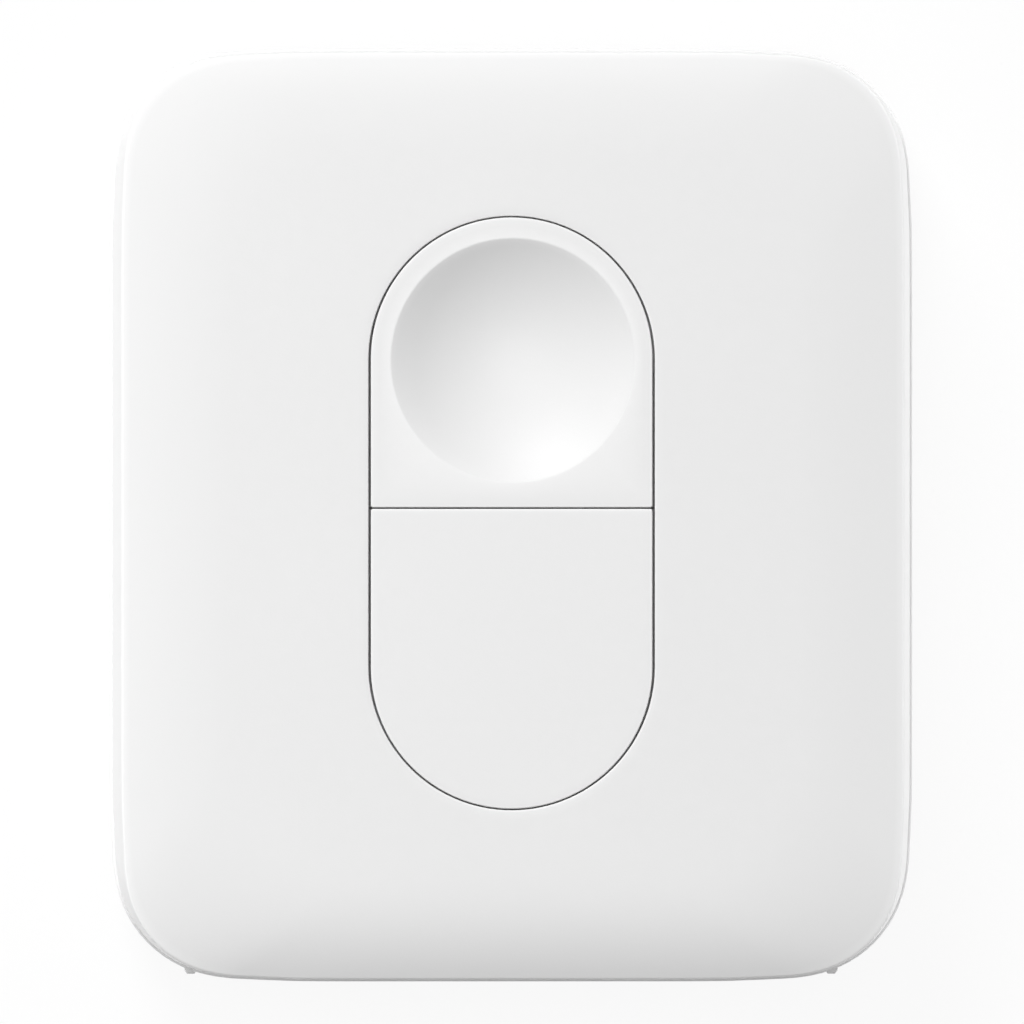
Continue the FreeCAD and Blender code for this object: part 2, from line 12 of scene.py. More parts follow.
import bmesh
import bpy
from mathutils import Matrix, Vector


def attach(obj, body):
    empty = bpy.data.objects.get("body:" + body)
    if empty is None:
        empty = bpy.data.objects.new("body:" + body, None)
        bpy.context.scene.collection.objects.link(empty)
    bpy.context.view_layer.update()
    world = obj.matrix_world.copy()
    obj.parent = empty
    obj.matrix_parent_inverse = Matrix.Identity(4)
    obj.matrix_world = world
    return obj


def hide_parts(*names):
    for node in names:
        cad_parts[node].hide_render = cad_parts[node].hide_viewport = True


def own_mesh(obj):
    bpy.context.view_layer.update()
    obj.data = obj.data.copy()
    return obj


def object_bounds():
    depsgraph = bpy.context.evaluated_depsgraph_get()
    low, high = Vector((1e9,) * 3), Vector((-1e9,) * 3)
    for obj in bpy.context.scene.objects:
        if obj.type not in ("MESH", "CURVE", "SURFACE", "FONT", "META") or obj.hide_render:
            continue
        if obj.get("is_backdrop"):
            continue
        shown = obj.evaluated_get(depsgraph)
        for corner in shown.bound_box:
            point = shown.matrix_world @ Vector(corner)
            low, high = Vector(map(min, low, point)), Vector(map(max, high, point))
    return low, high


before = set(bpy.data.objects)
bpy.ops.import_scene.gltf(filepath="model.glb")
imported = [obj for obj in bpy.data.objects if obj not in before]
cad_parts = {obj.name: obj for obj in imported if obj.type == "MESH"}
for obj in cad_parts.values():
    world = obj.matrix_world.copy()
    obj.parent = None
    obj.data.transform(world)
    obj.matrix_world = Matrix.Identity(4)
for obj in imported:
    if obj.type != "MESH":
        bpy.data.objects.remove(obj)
cad_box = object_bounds()
MM = 0.001
# The facets of the solids cut some microns off the round corners, so a tenth is exact enough.
half_width, half_length, top_height = (round(size / MM, 1) for size in cad_box[1])
print("nodes:", len(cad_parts))
print("half width, half length and height:", half_width, half_length, top_height)

# %% [markdown]
# ## The camera comes first
#
# The photograph looks straight down on the face with a long lens. The walls on the left and
# at the top show a little wider than those opposite, so the camera leans half a degree to
# the left and a third of a degree towards the upper edge. A long lens keeps the face and the
# parting line at nearly the same scale.

# %% Camera
picture_pixels = 1024
pixels_per_mm = 21.7
lens = 1200.0
lean_left = math.radians(0.55)
lean_up = math.radians(0.3)
aim = (0.04, 0.143, 3.4)  # the point that shows in the middle of the picture


def linked(name, data):
    """A new object in the scene, at the origin."""
    made = bpy.data.objects.new(name, data)
    bpy.context.scene.collection.objects.link(made)
    return made


camera = linked("camera", bpy.data.cameras.new("camera"))
camera.data.lens = lens
distance = picture_pixels / pixels_per_mm * lens / camera.data.sensor_width
camera.location = (
    (aim[0] - distance * math.sin(lean_left)) * MM,
    (aim[1] + distance * math.sin(lean_up)) * MM,
    (aim[2] + distance) * MM,
)
camera.rotation_euler = (-lean_up, -lean_left, 0)
bpy.context.scene.camera = camera
print("camera is", round(distance), "mm away")

# %% [markdown]
# ## Rounded rectangles as rings
#
# Nearly every moulded form here is a stack of rounded rectangles: the shell, the tub, the
# rib. One helper gives such a ring with a fixed number of points, so any two rings can be
# joined by a strip of quads. A stadium is the same ring with no short side, so its turns
# take the points that the short sides would have had. On the real outline a turn eases into
# the sides, so the helper can draw the ring in a little where turn and side meet.

# %% Ring helpers
corner_steps = 20
long_steps = 14
short_steps = 10
ease_inside = 0.6  # the ring is drawn in most this far inside a turn
ease_spread = 2.2  # and the draw fades over about this length
round_the_corner = 9.0  # added to the distance of an end that lies past the next turn


def ring(half_x, half_y, corner, z, ease=0.0):
    """Points of a rounded rectangle, anticlockwise from the middle of the right side.

    ease is how far the ring is drawn in where its turns meet its sides.
    """
    along = half_x - corner
    up = half_y - corner
    has_short_side = along > 1e-6
    turn_steps = corner_steps if has_short_side else corner_steps + short_steps
    quarter = []

    def add(x, y, angle, from_side, from_end):
        """One point with its normal's angle and its distances from both ends of the turn."""
        nearness = sum(math.exp(-(((s + ease_inside) / ease_spread) ** 2)) for s in (from_side, from_end))
        quarter.append((x - ease * nearness * math.cos(angle), y - ease * nearness * math.sin(angle)))

    for i in range(long_steps):
        y = up * i / long_steps
        add(half_x, y, 0.0, up - y, up - y + 2 * along + round_the_corner)
    for i in range(turn_steps):
        angle = math.pi / 2 * i / turn_steps
        x = along + corner * math.cos(angle)
        y = up + corner * math.sin(angle)
        add(x, y, angle, -corner * angle, -corner * (math.pi / 2 - angle))
    if has_short_side:
        for i in range(short_steps):
            x = along * (1 - i / short_steps)
            add(x, half_y, math.pi / 2, along - x + round_the_corner, along - x)
    whole = quarter + [(0.0, half_y)]
    points = [(x, y) for x, y in whole[:-1]]
    points += [(-x, y) for x, y in whole[:0:-1]]
    points += [(-x, -y) for x, y in whole[:-1]]
    points += [(x, -y) for x, y in whole[:0:-1]]
    return [(x, y, z) for x, y in points]


print("points in a ring:", len(ring(18, 21, 6, 0)))

# %% [markdown]
# ## Skins between rings
#
# A skin joins each ring to the next. It can close on itself, like a hose bent into a loop,
# or end in flat caps. Every piece has its faces turned outwards before it is kept.

# %% Skin helpers


def add_skin(mesh, rings, loop=False, cap_first=False, cap_last=False, wear_and_highlight=None):
    """Adds strips of quads between the rings, with each ring's share of edge wear and painted edge
    highlight.
    """
    layer = mesh.verts.layers.float.get("edge_wear_and_highlight") or mesh.verts.layers.float.new("edge_wear_and_highlight")
    rows = []
    for number, points in enumerate(rings):
        row = [mesh.verts.new((x * MM, y * MM, z * MM)) for x, y, z in points]
        for vertex in row:
            vertex[layer] = wear_and_highlight[number] if wear_and_highlight else 0.0
        rows.append(row)
    pairs = list(zip(rows, rows[1:]))
    if loop:
        pairs.append((rows[-1], rows[0]))
    for low, high in pairs:
        for i in range(len(low)):
            j = (i + 1) % len(low)
            mesh.faces.new((low[i], low[j], high[j], high[i]))
    if cap_first:
        mesh.faces.new(rows[0][::-1])
    if cap_last:
        mesh.faces.new(rows[-1])
    return rows


def add_closed(mesh, rings, wear_and_highlight=None):
    """Adds a skin with a flat cap at each end."""
    add_skin(mesh, rings, cap_first=True, cap_last=True, wear_and_highlight=wear_and_highlight)


def turn_outwards(mesh):
    bmesh.ops.recalc_face_normals(mesh, faces=mesh.faces)


def closed_form(rings):
    """A closed skin in a mesh of its own."""
    mesh = bmesh.new()
    add_closed(mesh, rings)
    turn_outwards(mesh)
    return mesh


# %% Rounded paths and turned forms


def rounded_path(corners, steps=5):
    """A path of (reach, height) points whose corners (reach, height, radius) are rounded by arcs."""
    path = []
    for number, (x, y, radius) in enumerate(corners):
        if not radius or number in (0, len(corners) - 1):
            path.append((x, y))
            continue
        x0, y0 = corners[number - 1][:2]
        x1, y1 = corners[number + 1][:2]
        back = (x0 - x, y0 - y)
        ahead = (x1 - x, y1 - y)
        back_length = math.hypot(*back)
        ahead_length = math.hypot(*ahead)
        back = (back[0] / back_length, back[1] / back_length)
        ahead = (ahead[0] / ahead_length, ahead[1] / ahead_length)
        half_turn = math.acos(max(-1.0, min(1.0, back[0] * ahead[0] + back[1] * ahead[1]))) / 2
        cut = radius / math.tan(half_turn)
        middle = (back[0] + ahead[0], back[1] + ahead[1])
        middle_length = math.hypot(*middle)
        reach = radius / math.sin(half_turn)
        centre = (x + middle[0] / middle_length * reach, y + middle[1] / middle_length * reach)
        start = (x + back[0] * cut - centre[0], y + back[1] * cut - centre[1])
        end = (x + ahead[0] * cut - centre[0], y + ahead[1] * cut - centre[1])
        a = math.atan2(start[1], start[0])
        turn = math.atan2(end[1], end[0]) - a
        turn = (turn + math.pi) % (2 * math.pi) - math.pi
        for i in range(steps + 1):
            angle = a + turn * i / steps
            path.append((centre[0] + radius * math.cos(angle), centre[1] + radius * math.sin(angle)))
    return path


def circle_angles(turn_steps):
    return [2 * math.pi * i / turn_steps for i in range(turn_steps)]


def turned_rings(path, turn_steps, middle=(0.0, 0.0)):
    """A circle of points for each (radius, height) of a path."""
    x, y = middle
    angles = circle_angles(turn_steps)
    return [[(x + r * math.cos(a), y + r * math.sin(a), z) for a in angles] for r, z in path]


def add_turned(mesh, corners, middle=(0.0, 0.0), turn_steps=32, steps=3):
    """Adds a closed turned form, from a path that starts and ends on the axis."""
    path = rounded_path(corners, steps)[1:-1]
    add_closed(mesh, turned_rings(path, turn_steps, middle))


# %% Object helpers
merge_gap = 0.0004


def to_object(mesh, name):
    data = bpy.data.meshes.new(name)
    mesh.to_mesh(data)
    mesh.free()
    return linked(name, data)


def finish_mesh(mesh, name, smooth_angle=32.0):
    """Makes an object of the mesh: faces turned outwards, smooth except at real edges."""
    bmesh.ops.remove_doubles(mesh, verts=mesh.verts, dist=merge_gap * MM)
    turn_outwards(mesh)
    for face in mesh.faces:
        face.smooth = True
    for edge in mesh.edges:
        edge.smooth = len(edge.link_faces) == 2 and edge.calc_face_angle() < math.radians(smooth_angle)
    return to_object(mesh, name)


def lathe(corners, name, turn_steps=96, middle=(0.0, 0.0), steps=5):
    """A turned piece, from a path that starts and ends on the axis."""
    mesh = bmesh.new()
    add_turned(mesh, corners, middle, turn_steps, steps)
    return finish_mesh(mesh, name)


def evaluated_data(made):
    """A plain mesh of an object with its modifiers applied."""
    depsgraph = bpy.context.evaluated_depsgraph_get()
    return bpy.data.meshes.new_from_object(made.evaluated_get(depsgraph))


def carve(mesh, *cutters):
    """Cuts closed forms out of a closed form and returns the mesh that is left."""
    body = to_object(mesh, "carved")
    tools = [to_object(cutter, "cutter") for cutter in cutters]
    for tool in tools:
        modifier = body.modifiers.new("cut", "BOOLEAN")
        modifier.operation = "DIFFERENCE"
        modifier.solver = "EXACT"
        modifier.object = tool
    data = evaluated_data(body)
    left = bmesh.new()
    left.from_mesh(data)
    bpy.data.meshes.remove(data)
    for used in (body, *tools):
        bpy.data.objects.remove(used)
    return left


def place(piece, body, slot, material, *nodes):
    """Gives a finished piece its material, hangs it on its body and hides the imported parts it stands for.
    The slot argument is not used.
    """
    piece.data.materials.clear()
    piece.data.materials.append(material)
    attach(piece, body)
    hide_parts(*nodes)
    print(piece.name, len(piece.data.polygons), "faces")


# %% [markdown]
# ## Shared effects
#
# Three effects come back in several finishes, so each is a node group. The first is the
# fine grain that a spark-eroded mould leaves on plastic. The second is the trace of
# handling: broad, faint patches where fingers have polished the surface, and fine hairlines.
# The third is the grain of rolled or turned metal. Scales count features per metre.

# %% Node helpers


def new_group(name, inputs, outputs):
    group = bpy.data.node_groups.new(name, "ShaderNodeTree")
    for label, value in inputs:
        socket = group.interface.new_socket(label, in_out="INPUT", socket_type="NodeSocketFloat")
        socket.default_value = value
    for label in outputs:
        group.interface.new_socket(label, in_out="OUTPUT", socket_type="NodeSocketFloat")
    return group, group.nodes.new("NodeGroupInput"), group.nodes.new("NodeGroupOutput")


def math_node(tree, operation, first, second=None, clamp=False):
    """A math node whose inputs are sockets or plain numbers. Returns its output."""
    node = tree.nodes.new("ShaderNodeMath")
    node.operation = operation
    node.use_clamp = clamp
    for socket, value in zip(node.inputs, (first, second)):
        if value is None:
            continue
        if isinstance(value, (int, float)):
            socket.default_value = value
        else:
            tree.links.new(value, socket)
    return node.outputs[0]


def plus(tree, first, second):
    return math_node(tree, "ADD", first, second)


def minus(tree, first, second, clamp=False):
    return math_node(tree, "SUBTRACT", first, second, clamp)


def times(tree, first, second, clamp=False):
    return math_node(tree, "MULTIPLY", first, second, clamp)


def noise(tree, place_socket, scale, detail=2.0, roughness=0.5):
    """A noise texture at a scale that is a socket or a number."""
    node = tree.nodes.new("ShaderNodeTexNoise")
    node.inputs["Detail"].default_value = detail
    node.inputs["Roughness"].default_value = roughness
    tree.links.new(place_socket, node.inputs["Vector"])
    if isinstance(scale, (int, float)):
        node.inputs["Scale"].default_value = scale
    else:
        tree.links.new(scale, node.inputs["Scale"])
    return node.outputs["Fac"]


def object_place(tree):
    return tree.nodes.new("ShaderNodeTexCoord").outputs["Object"]


# %% Moulded grain
def make_moulded_grain():
    coarse_to_fine = 0.22
    fine_share, coarse_share = 0.7, 0.3
    rough_swing = 0.1
    inputs = [("Grain per metre", 9000.0), ("Depth", 1.0)]
    group, inside, outside = new_group("moulded_grain", inputs, ["Height", "Rough"])
    where = object_place(group)
    fine = noise(group, where, inside.outputs["Grain per metre"], 3.0, 0.6)
    coarse_scale = times(group, inside.outputs["Grain per metre"], coarse_to_fine)
    coarse = noise(group, where, coarse_scale, 2.0)
    grain = plus(group, times(group, fine, fine_share), times(group, coarse, coarse_share))
    group.links.new(times(group, grain, inside.outputs["Depth"]), outside.inputs["Height"])
    centred = minus(group, coarse, 0.5)
    group.links.new(times(group, centred, rough_swing), outside.inputs["Rough"])
    return group


# %% Handling marks
def make_handling():
    patch_start = 0.52
    hairline_scale, hairline_start, hairline_gain = 5200.0, 0.74, 2.0
    hairline_stretch, hairline_turn = 0.03, 0.6
    tone_to_patch = 0.35
    inputs = [("Patches per metre", 110.0), ("Amount", 1.0)]
    group, inside, outside = new_group("handling", inputs, ["Polish", "Scratch", "Tone"])
    where = object_place(group)
    patches = noise(group, where, inside.outputs["Patches per metre"], 4.0, 0.55)
    polish = times(group, minus(group, patches, patch_start, clamp=True), inside.outputs["Amount"])
    group.links.new(polish, outside.inputs["Polish"])

    stretch = group.nodes.new("ShaderNodeMapping")
    stretch.inputs["Rotation"].default_value = (0, 0, hairline_turn)
    stretch.inputs["Scale"].default_value = (1, hairline_stretch, 1)
    group.links.new(where, stretch.inputs["Vector"])
    lines = noise(group, stretch.outputs["Vector"], hairline_scale, 1.0)
    hairline = minus(group, lines, hairline_start, clamp=True)
    hairline = times(group, hairline, inside.outputs["Amount"])
    group.links.new(times(group, hairline, hairline_gain), outside.inputs["Scratch"])

    broad = times(group, inside.outputs["Patches per metre"], tone_to_patch)
    tone = minus(group, noise(group, where, broad, 2.0), 0.5)
    group.links.new(times(group, tone, inside.outputs["Amount"]), outside.inputs["Tone"])
    return group


# %% Metal grain
def make_metal_grain():
    rough_swing = 0.3
    tarnish_scale = 420.0
    inputs = [("Grain per metre", 3000.0), ("Stretch", 0.04), ("Depth", 1.0)]
    group, inside, outside = new_group("metal_grain", inputs, ["Height", "Rough", "Tarnish"])
    where = object_place(group)
    stretch = group.nodes.new("ShaderNodeMapping")
    scale = group.nodes.new("ShaderNodeCombineXYZ")
    scale.inputs["Y"].default_value = 1.0
    scale.inputs["Z"].default_value = 1.0
    group.links.new(inside.outputs["Stretch"], scale.inputs["X"])
    group.links.new(scale.outputs[0], stretch.inputs["Scale"])
    group.links.new(where, stretch.inputs["Vector"])
    lines = noise(group, stretch.outputs["Vector"], inside.outputs["Grain per metre"], 3.0, 0.6)
    group.links.new(times(group, lines, inside.outputs["Depth"]), outside.inputs["Height"])
    group.links.new(times(group, minus(group, lines, 0.5), rough_swing), outside.inputs["Rough"])
    spots = noise(group, where, tarnish_scale, 4.0, 0.6)
    group.links.new(minus(group, spots, 0.5, clamp=True), outside.inputs["Tarnish"])
    return group


moulded_grain = make_moulded_grain()
handling = make_handling()
metal_grain = make_metal_grain()
print("node groups:", [group.name for group in bpy.data.node_groups])

# %% [markdown]
# ## Finishes
#
# A finish starts from one Principled shader with its plain values on its own sockets.
# The groups then feed colour, roughness and a bump. One plastic differs from the next only
# in its numbers, so one function makes the housing, the keys, the tray and the dark switch
# bodies. Edges that are rubbed often turn a little smoother than the faces, and a highlight
# is painted along them as a lighter colour.

# %% Finish helpers


def new_material(name):
    material = bpy.data.materials.new(name)
    material.use_nodes = True
    tree = material.node_tree
    return material, tree, tree.nodes["Principled BSDF"]


def use_group(tree, group, **values):
    node = tree.nodes.new("ShaderNodeGroup")
    node.node_tree = group
    for label, value in values.items():
        node.inputs[label.replace("_", " ")].default_value = value
    return node.outputs


def colour_between(tree, dark, light, share):
    """A colour that goes from dark to light with a share between 0 and 1."""
    mix = tree.nodes.new("ShaderNodeMix")
    mix.data_type = "RGBA"
    mix.inputs["A"].default_value = (*dark, 1)
    mix.inputs["B"].default_value = (*light, 1)
    tree.links.new(share, mix.inputs["Factor"])
    return mix.outputs["Result"]


def towards(tree, base, colour, share):
    """The base colour, turned into one plain colour by a share between 0 and 1."""
    mix = tree.nodes.new("ShaderNodeMix")
    mix.data_type = "RGBA"
    mix.inputs["B"].default_value = (*colour, 1)
    tree.links.new(base, mix.inputs["A"])
    tree.links.new(share, mix.inputs["Factor"])
    return mix.outputs["Result"]


def add_bump(tree, shader, height, depth):
    """A bump of a real depth in millimetres."""
    bump = tree.nodes.new("ShaderNodeBump")
    bump.inputs["Strength"].default_value = 1.0
    bump.inputs["Distance"].default_value = depth * MM
    tree.links.new(height, bump.inputs["Height"])
    tree.links.new(bump.outputs["Normal"], shader.inputs["Normal"])


def edge_attribute(tree):
    node = tree.nodes.new("ShaderNodeAttribute")
    node.attribute_name = "edge_wear_and_highlight"
    return node.outputs["Fac"]


# %% Plastic and metal
tone_spread = 0.035  # a plastic's colour goes this share up and down
# painted highlight: marked edges are painted this much lighter than the face
edge_highlight_gain = 1.16
plastic_ior = 1.5


def plastic(name, colour, roughness, grain=9000.0, depth=0.004, marks=1.0):
    """Moulded plastic: grain from the mould, faint handling, edges polished a little and a painted highlight
    along them.
    """
    tone_gain, scratch_shade = 0.35, 0.3
    hand_gloss, edge_gloss, edge_highlight_share = 0.1, 0.06, 0.6
    material, tree, shader = new_material(name)
    grain_out = use_group(tree, moulded_grain, Grain_per_metre=grain)
    marks_out = use_group(tree, handling, Amount=marks)
    edge = edge_attribute(tree)
    tone = plus(tree, times(tree, marks_out["Tone"], tone_gain), 0.5)
    tone = minus(tree, tone, times(tree, marks_out["Scratch"], scratch_shade), clamp=True)
    dark = tuple(c * (1 - tone_spread) for c in colour)
    light = tuple(min(1.0, c * (1 + tone_spread)) for c in colour)
    highlight_colour = tuple(min(1.0, c * edge_highlight_gain) for c in colour)
    base = colour_between(tree, dark, light, tone)
    # painted highlight: the colour turns lighter along the marked edges
    base = towards(tree, base, highlight_colour, times(tree, edge, edge_highlight_share))
    tree.links.new(base, shader.inputs["Base Color"])
    rough = plus(tree, grain_out["Rough"], roughness)
    rough = minus(tree, rough, times(tree, marks_out["Polish"], hand_gloss))
    rough = minus(tree, rough, times(tree, edge, edge_gloss), clamp=True)
    tree.links.new(rough, shader.inputs["Roughness"])
    shader.inputs["IOR"].default_value = plastic_ior
    add_bump(tree, shader, minus(tree, grain_out["Height"], marks_out["Scratch"]), depth)
    return material


tarnish_colour = (0.42, 0.4, 0.37)


def metal(name, colour, roughness, stretch=0.04, grain=3000.0, depth=0.002):
    """Sheet or turned metal: grain along one way, and a little tarnish."""
    tarnish_gain, tarnish_rough = 0.9, 0.2
    material, tree, shader = new_material(name)
    out = use_group(tree, metal_grain, Grain_per_metre=grain, Stretch=stretch)
    share = times(tree, out["Tarnish"], tarnish_gain, clamp=True)
    tree.links.new(colour_between(tree, colour, tarnish_colour, share), shader.inputs["Base Color"])
    rough = plus(tree, plus(tree, out["Rough"], roughness), times(tree, share, tarnish_rough))
    tree.links.new(rough, shader.inputs["Roughness"])
    shader.inputs["Metallic"].default_value = 1.0
    add_bump(tree, shader, out["Height"], depth)
    return material


# %% Make the plastics and metals
white = (0.82, 0.82, 0.82)
finishes = {
    "housing_white": plastic("housing_white", white, 0.45),
    "key_white": plastic("key_white", white, 0.42, grain=11000.0),
    "tray_grey": plastic("tray_grey", (0.62, 0.63, 0.64), 0.5, grain=7000.0, marks=0.4),
    "switch_black": plastic("switch_black", (0.03, 0.03, 0.033), 0.45, marks=0.3),
    "seal_plastic": plastic("seal_plastic", (0.2, 0.21, 0.23), 0.4, marks=0.3),
    "cell_steel": metal("cell_steel", (0.52, 0.52, 0.505), 0.3),
    "spring_steel": metal("spring_steel", (0.8, 0.76, 0.66), 0.26, stretch=0.06, grain=5000.0),
    "screw_steel": metal("screw_steel", (0.52, 0.52, 0.53), 0.34, stretch=0.5, grain=7000.0),
    "cap_steel": metal("cap_steel", (0.56, 0.56, 0.545), 0.38, stretch=0.8, grain=2500.0, depth=0.006),
    "anode_metal": metal("anode_metal", (0.66, 0.66, 0.67), 0.5, stretch=0.7, grain=6000.0),
}
print("plastics and metals:", len(finishes))

# %% [markdown]
# The board, the ceramic parts and the soft parts need finishes of their own. The board's
# lacquer is dark over bare laminate and lighter where it covers copper tracks, and the
# tracks stand up a few hundredths of a millimetre under it. Blocks of tracks lie between
# bare areas, with round lands strewn over both.

# %% Board finish
bare_lacquer = (0.012, 0.1, 0.045)
copper_lacquer = (0.03, 0.2, 0.085)


def board_finish():
    block_scale, block_limit, land_radius = 210.0, 0.47, 0.13
    cloth_scale, cloth_rough, cloth_height = 2600.0, 0.12, 0.15
    least_rough, track_height = 0.22, 0.03
    material, tree, shader = new_material("board_green")
    where = object_place(tree)
    tracks = tree.nodes.new("ShaderNodeTexBrick")
    tracks.inputs["Scale"].default_value = 620.0
    tracks.inputs["Mortar Size"].default_value = 0.035
    tracks.inputs["Mortar Smooth"].default_value = 0.2
    tracks.inputs["Brick Width"].default_value = 1.7
    tracks.inputs["Row Height"].default_value = 0.42
    tree.links.new(where, tracks.inputs["Vector"])
    block = math_node(tree, "GREATER_THAN", noise(tree, where, block_scale, 0.0), block_limit)
    track = times(tree, tracks.outputs["Fac"], block)
    lands = tree.nodes.new("ShaderNodeTexVoronoi")
    lands.inputs["Scale"].default_value = 520.0
    tree.links.new(where, lands.inputs["Vector"])
    land = math_node(tree, "LESS_THAN", lands.outputs["Distance"], land_radius)
    copper = math_node(tree, "MAXIMUM", track, land)
    lacquer = colour_between(tree, bare_lacquer, copper_lacquer, copper)
    tree.links.new(lacquer, shader.inputs["Base Color"])
    cloth = noise(tree, where, cloth_scale, 2.0)
    rough = plus(tree, times(tree, cloth, cloth_rough), least_rough)
    tree.links.new(rough, shader.inputs["Roughness"])
    add_bump(tree, shader, plus(tree, copper, times(tree, cloth, cloth_height)), track_height)
    return material


# %% Ceramic, epoxy and lamp finishes
tin_colour = (0.55, 0.55, 0.53)
rough_spread = 0.2  # speckle and dust change the roughness by half of this, up and down


def speckled(name, dark, light, roughness, scale, depth, tinned=False):
    """A fired or moulded body with fine speckle. Where tinned, the marked faces are solder tin."""
    material, tree, shader = new_material(name)
    where = object_place(tree)
    speckle = noise(tree, where, scale, 4.0, 0.7)
    base = colour_between(tree, dark, light, speckle)
    if tinned:
        ends = edge_attribute(tree)
        base = towards(tree, base, tin_colour, ends)
        tree.links.new(ends, shader.inputs["Metallic"])
    tree.links.new(base, shader.inputs["Base Color"])
    rough = plus(tree, times(tree, speckle, rough_spread), roughness - rough_spread / 2)
    tree.links.new(rough, shader.inputs["Roughness"])
    add_bump(tree, shader, speckle, depth)
    return material


# %% Soft finishes


def soft_finish(name, dark, light, roughness, cells, depth):
    """Rubbery or open-celled stuff: small pits, painted darker inside as shade, under a faint film of dust.
    """
    dust_scale, dust_share, pit_shade_share = 700.0, 0.4, 0.6
    material, tree, shader = new_material(name)
    where = object_place(tree)
    pits = tree.nodes.new("ShaderNodeTexVoronoi")
    pits.inputs["Scale"].default_value = cells
    tree.links.new(where, pits.inputs["Vector"])
    depth_map = math_node(tree, "POWER", pits.outputs["Distance"], 0.6, clamp=True)
    dust = noise(tree, where, dust_scale, 3.0)
    # painted shade: the colour darkens towards the bottom of each pit; the real dust makes it lighter
    share = plus(tree, times(tree, depth_map, pit_shade_share), times(tree, dust, dust_share))
    tree.links.new(colour_between(tree, dark, light, share), shader.inputs["Base Color"])
    rough = plus(tree, times(tree, dust, rough_spread), roughness - rough_spread / 2)
    tree.links.new(rough, shader.inputs["Roughness"])
    add_bump(tree, shader, depth_map, depth)
    return material


# %% Make the other finishes
speckled_finishes = [
    ("chip_black", (0.02, 0.02, 0.021), (0.05, 0.05, 0.05), 0.5, 9000.0, 0.004),
    ("ceramic_tan", (0.42, 0.33, 0.23), (0.6, 0.5, 0.38), 0.5, 7000.0, 0.003),
    ("capacitor_tan", (0.4, 0.3, 0.2), (0.56, 0.45, 0.33), 0.45, 9000.0, 0.002, True),
    ("led_clear", (0.78, 0.76, 0.58), (0.88, 0.87, 0.74), 0.25, 1500.0, 0.001),
    ("cathode_pressed", (0.012, 0.012, 0.012), (0.05, 0.05, 0.048), 0.9, 4000.0, 0.02),
    ("separator_paper", (0.78, 0.77, 0.72), (0.9, 0.9, 0.87), 0.9, 3000.0, 0.01),
]
soft_finishes = [
    ("silicone_grey", (0.56, 0.57, 0.58), (0.68, 0.69, 0.7), 0.55, 9000.0, 0.002),
    ("foam_dark", (0.05, 0.05, 0.052), (0.13, 0.13, 0.135), 0.95, 3200.0, 0.08),
]
finishes["board_green"] = board_finish()
for values in speckled_finishes:
    finishes[values[0]] = speckled(*values)
for values in soft_finishes:
    finishes[values[0]] = soft_finish(*values)
print("all finishes:", len(finishes))

# %% [markdown]
# ## The front shell
#
# The shell is one moulding about 1.4 mm thick. Its walls lean in a little so that it leaves
# the mould, a small round runs along the rim, and the face falls away over the last 5 mm at
# the sides and a little later at the two ends. It is built as one hose of rings: up the
# outside, over the face, down the opening, round the collar that guides the keys, along the
# ceiling and down the inside to the lip. Rings give exact control of the round edges, where
# a bevel would cross the long roll.

# %% Heights and insets of the shell
outline_corner = 6.0
outline_ease = 0.13
seam_height = 3.4
seam_step = 0.12  # the shell stands in this far from the cover at the parting line
rim_height = 11.22
rim_round = 0.18
ceiling_height = 10.6
lip_inset, lip_low = 0.97, 2.5
side_wall = 1.5
wall_inset, wall_lean = 0.1, 0.45  # of the outside, at the parting line and from there to the rim
end_upright = 0.3  # the two end walls lean in this much less
flat_x = 12.95  # half width of the face's flat middle
flat_y = 15.95
flat_corner = 6.0
roll_width = 5.0
roll_length = 5.3
face_fall = 0.78
fall_power, end_power = 2.1, 0.72  # how slowly the fall starts, and how late at the two ends
face_tightening, ceiling_tightening = 0.11, 0.586  # corner radius lost with each mm of reach
arc_y = 7.06  # the middle of the opening's round ends
opening_radius = 6.563
opening_shift = (-0.056, 0.135)
collar_room, collar_wall, collar_low = 0.85, 1.0, 9.3


def lean_at(height):
    """How far the side wall stands in from the outline at a height."""
    return wall_inset + wall_lean * (height - seam_height) / (rim_height - seam_height)


def outline_ring(inset, z):
    """A ring inside the outline. The walls of the two ends lean in less."""
    upright = end_upright * min(1.0, max(0.0, (z - seam_height) / (rim_height - seam_height)))
    return ring(half_width - inset, half_length - inset + upright, outline_corner - inset, z, outline_ease)


def shifted(points, side=1):
    """Points moved with the opening, which sits a tenth of a millimetre off the face's middle.

    Side -1 mirrors them to the lower key first.
    """
    return [(x + opening_shift[0], side * y + opening_shift[1], z) for x, y, z in points]


def stadium_ring(radius, z):
    return shifted(ring(radius, arc_y + radius, radius, z))


def face_ring(reach, z):
    """A ring of the face, reach outside its flat middle. The ends roll off later than the sides."""
    share = reach / roll_width
    half_y = flat_y + roll_length * share**end_power
    return ring(flat_x + reach, half_y, flat_corner - face_tightening * reach, z, outline_ease * share)


def ceiling_ring(reach, z):
    return ring(flat_x + reach, flat_y + reach, flat_corner - ceiling_tightening * reach, z)


# %% Rings over the outside


def face_drop(reach):
    """How far the face lies below its flat middle."""
    return face_fall * (reach / roll_width) ** fall_power


def wear_and_highlight_near(z, edge, spread):
    """Edge wear and painted edge highlight that fade to nothing at a distance from an edge."""
    return max(0.0, 1 - abs(z - edge) / spread)


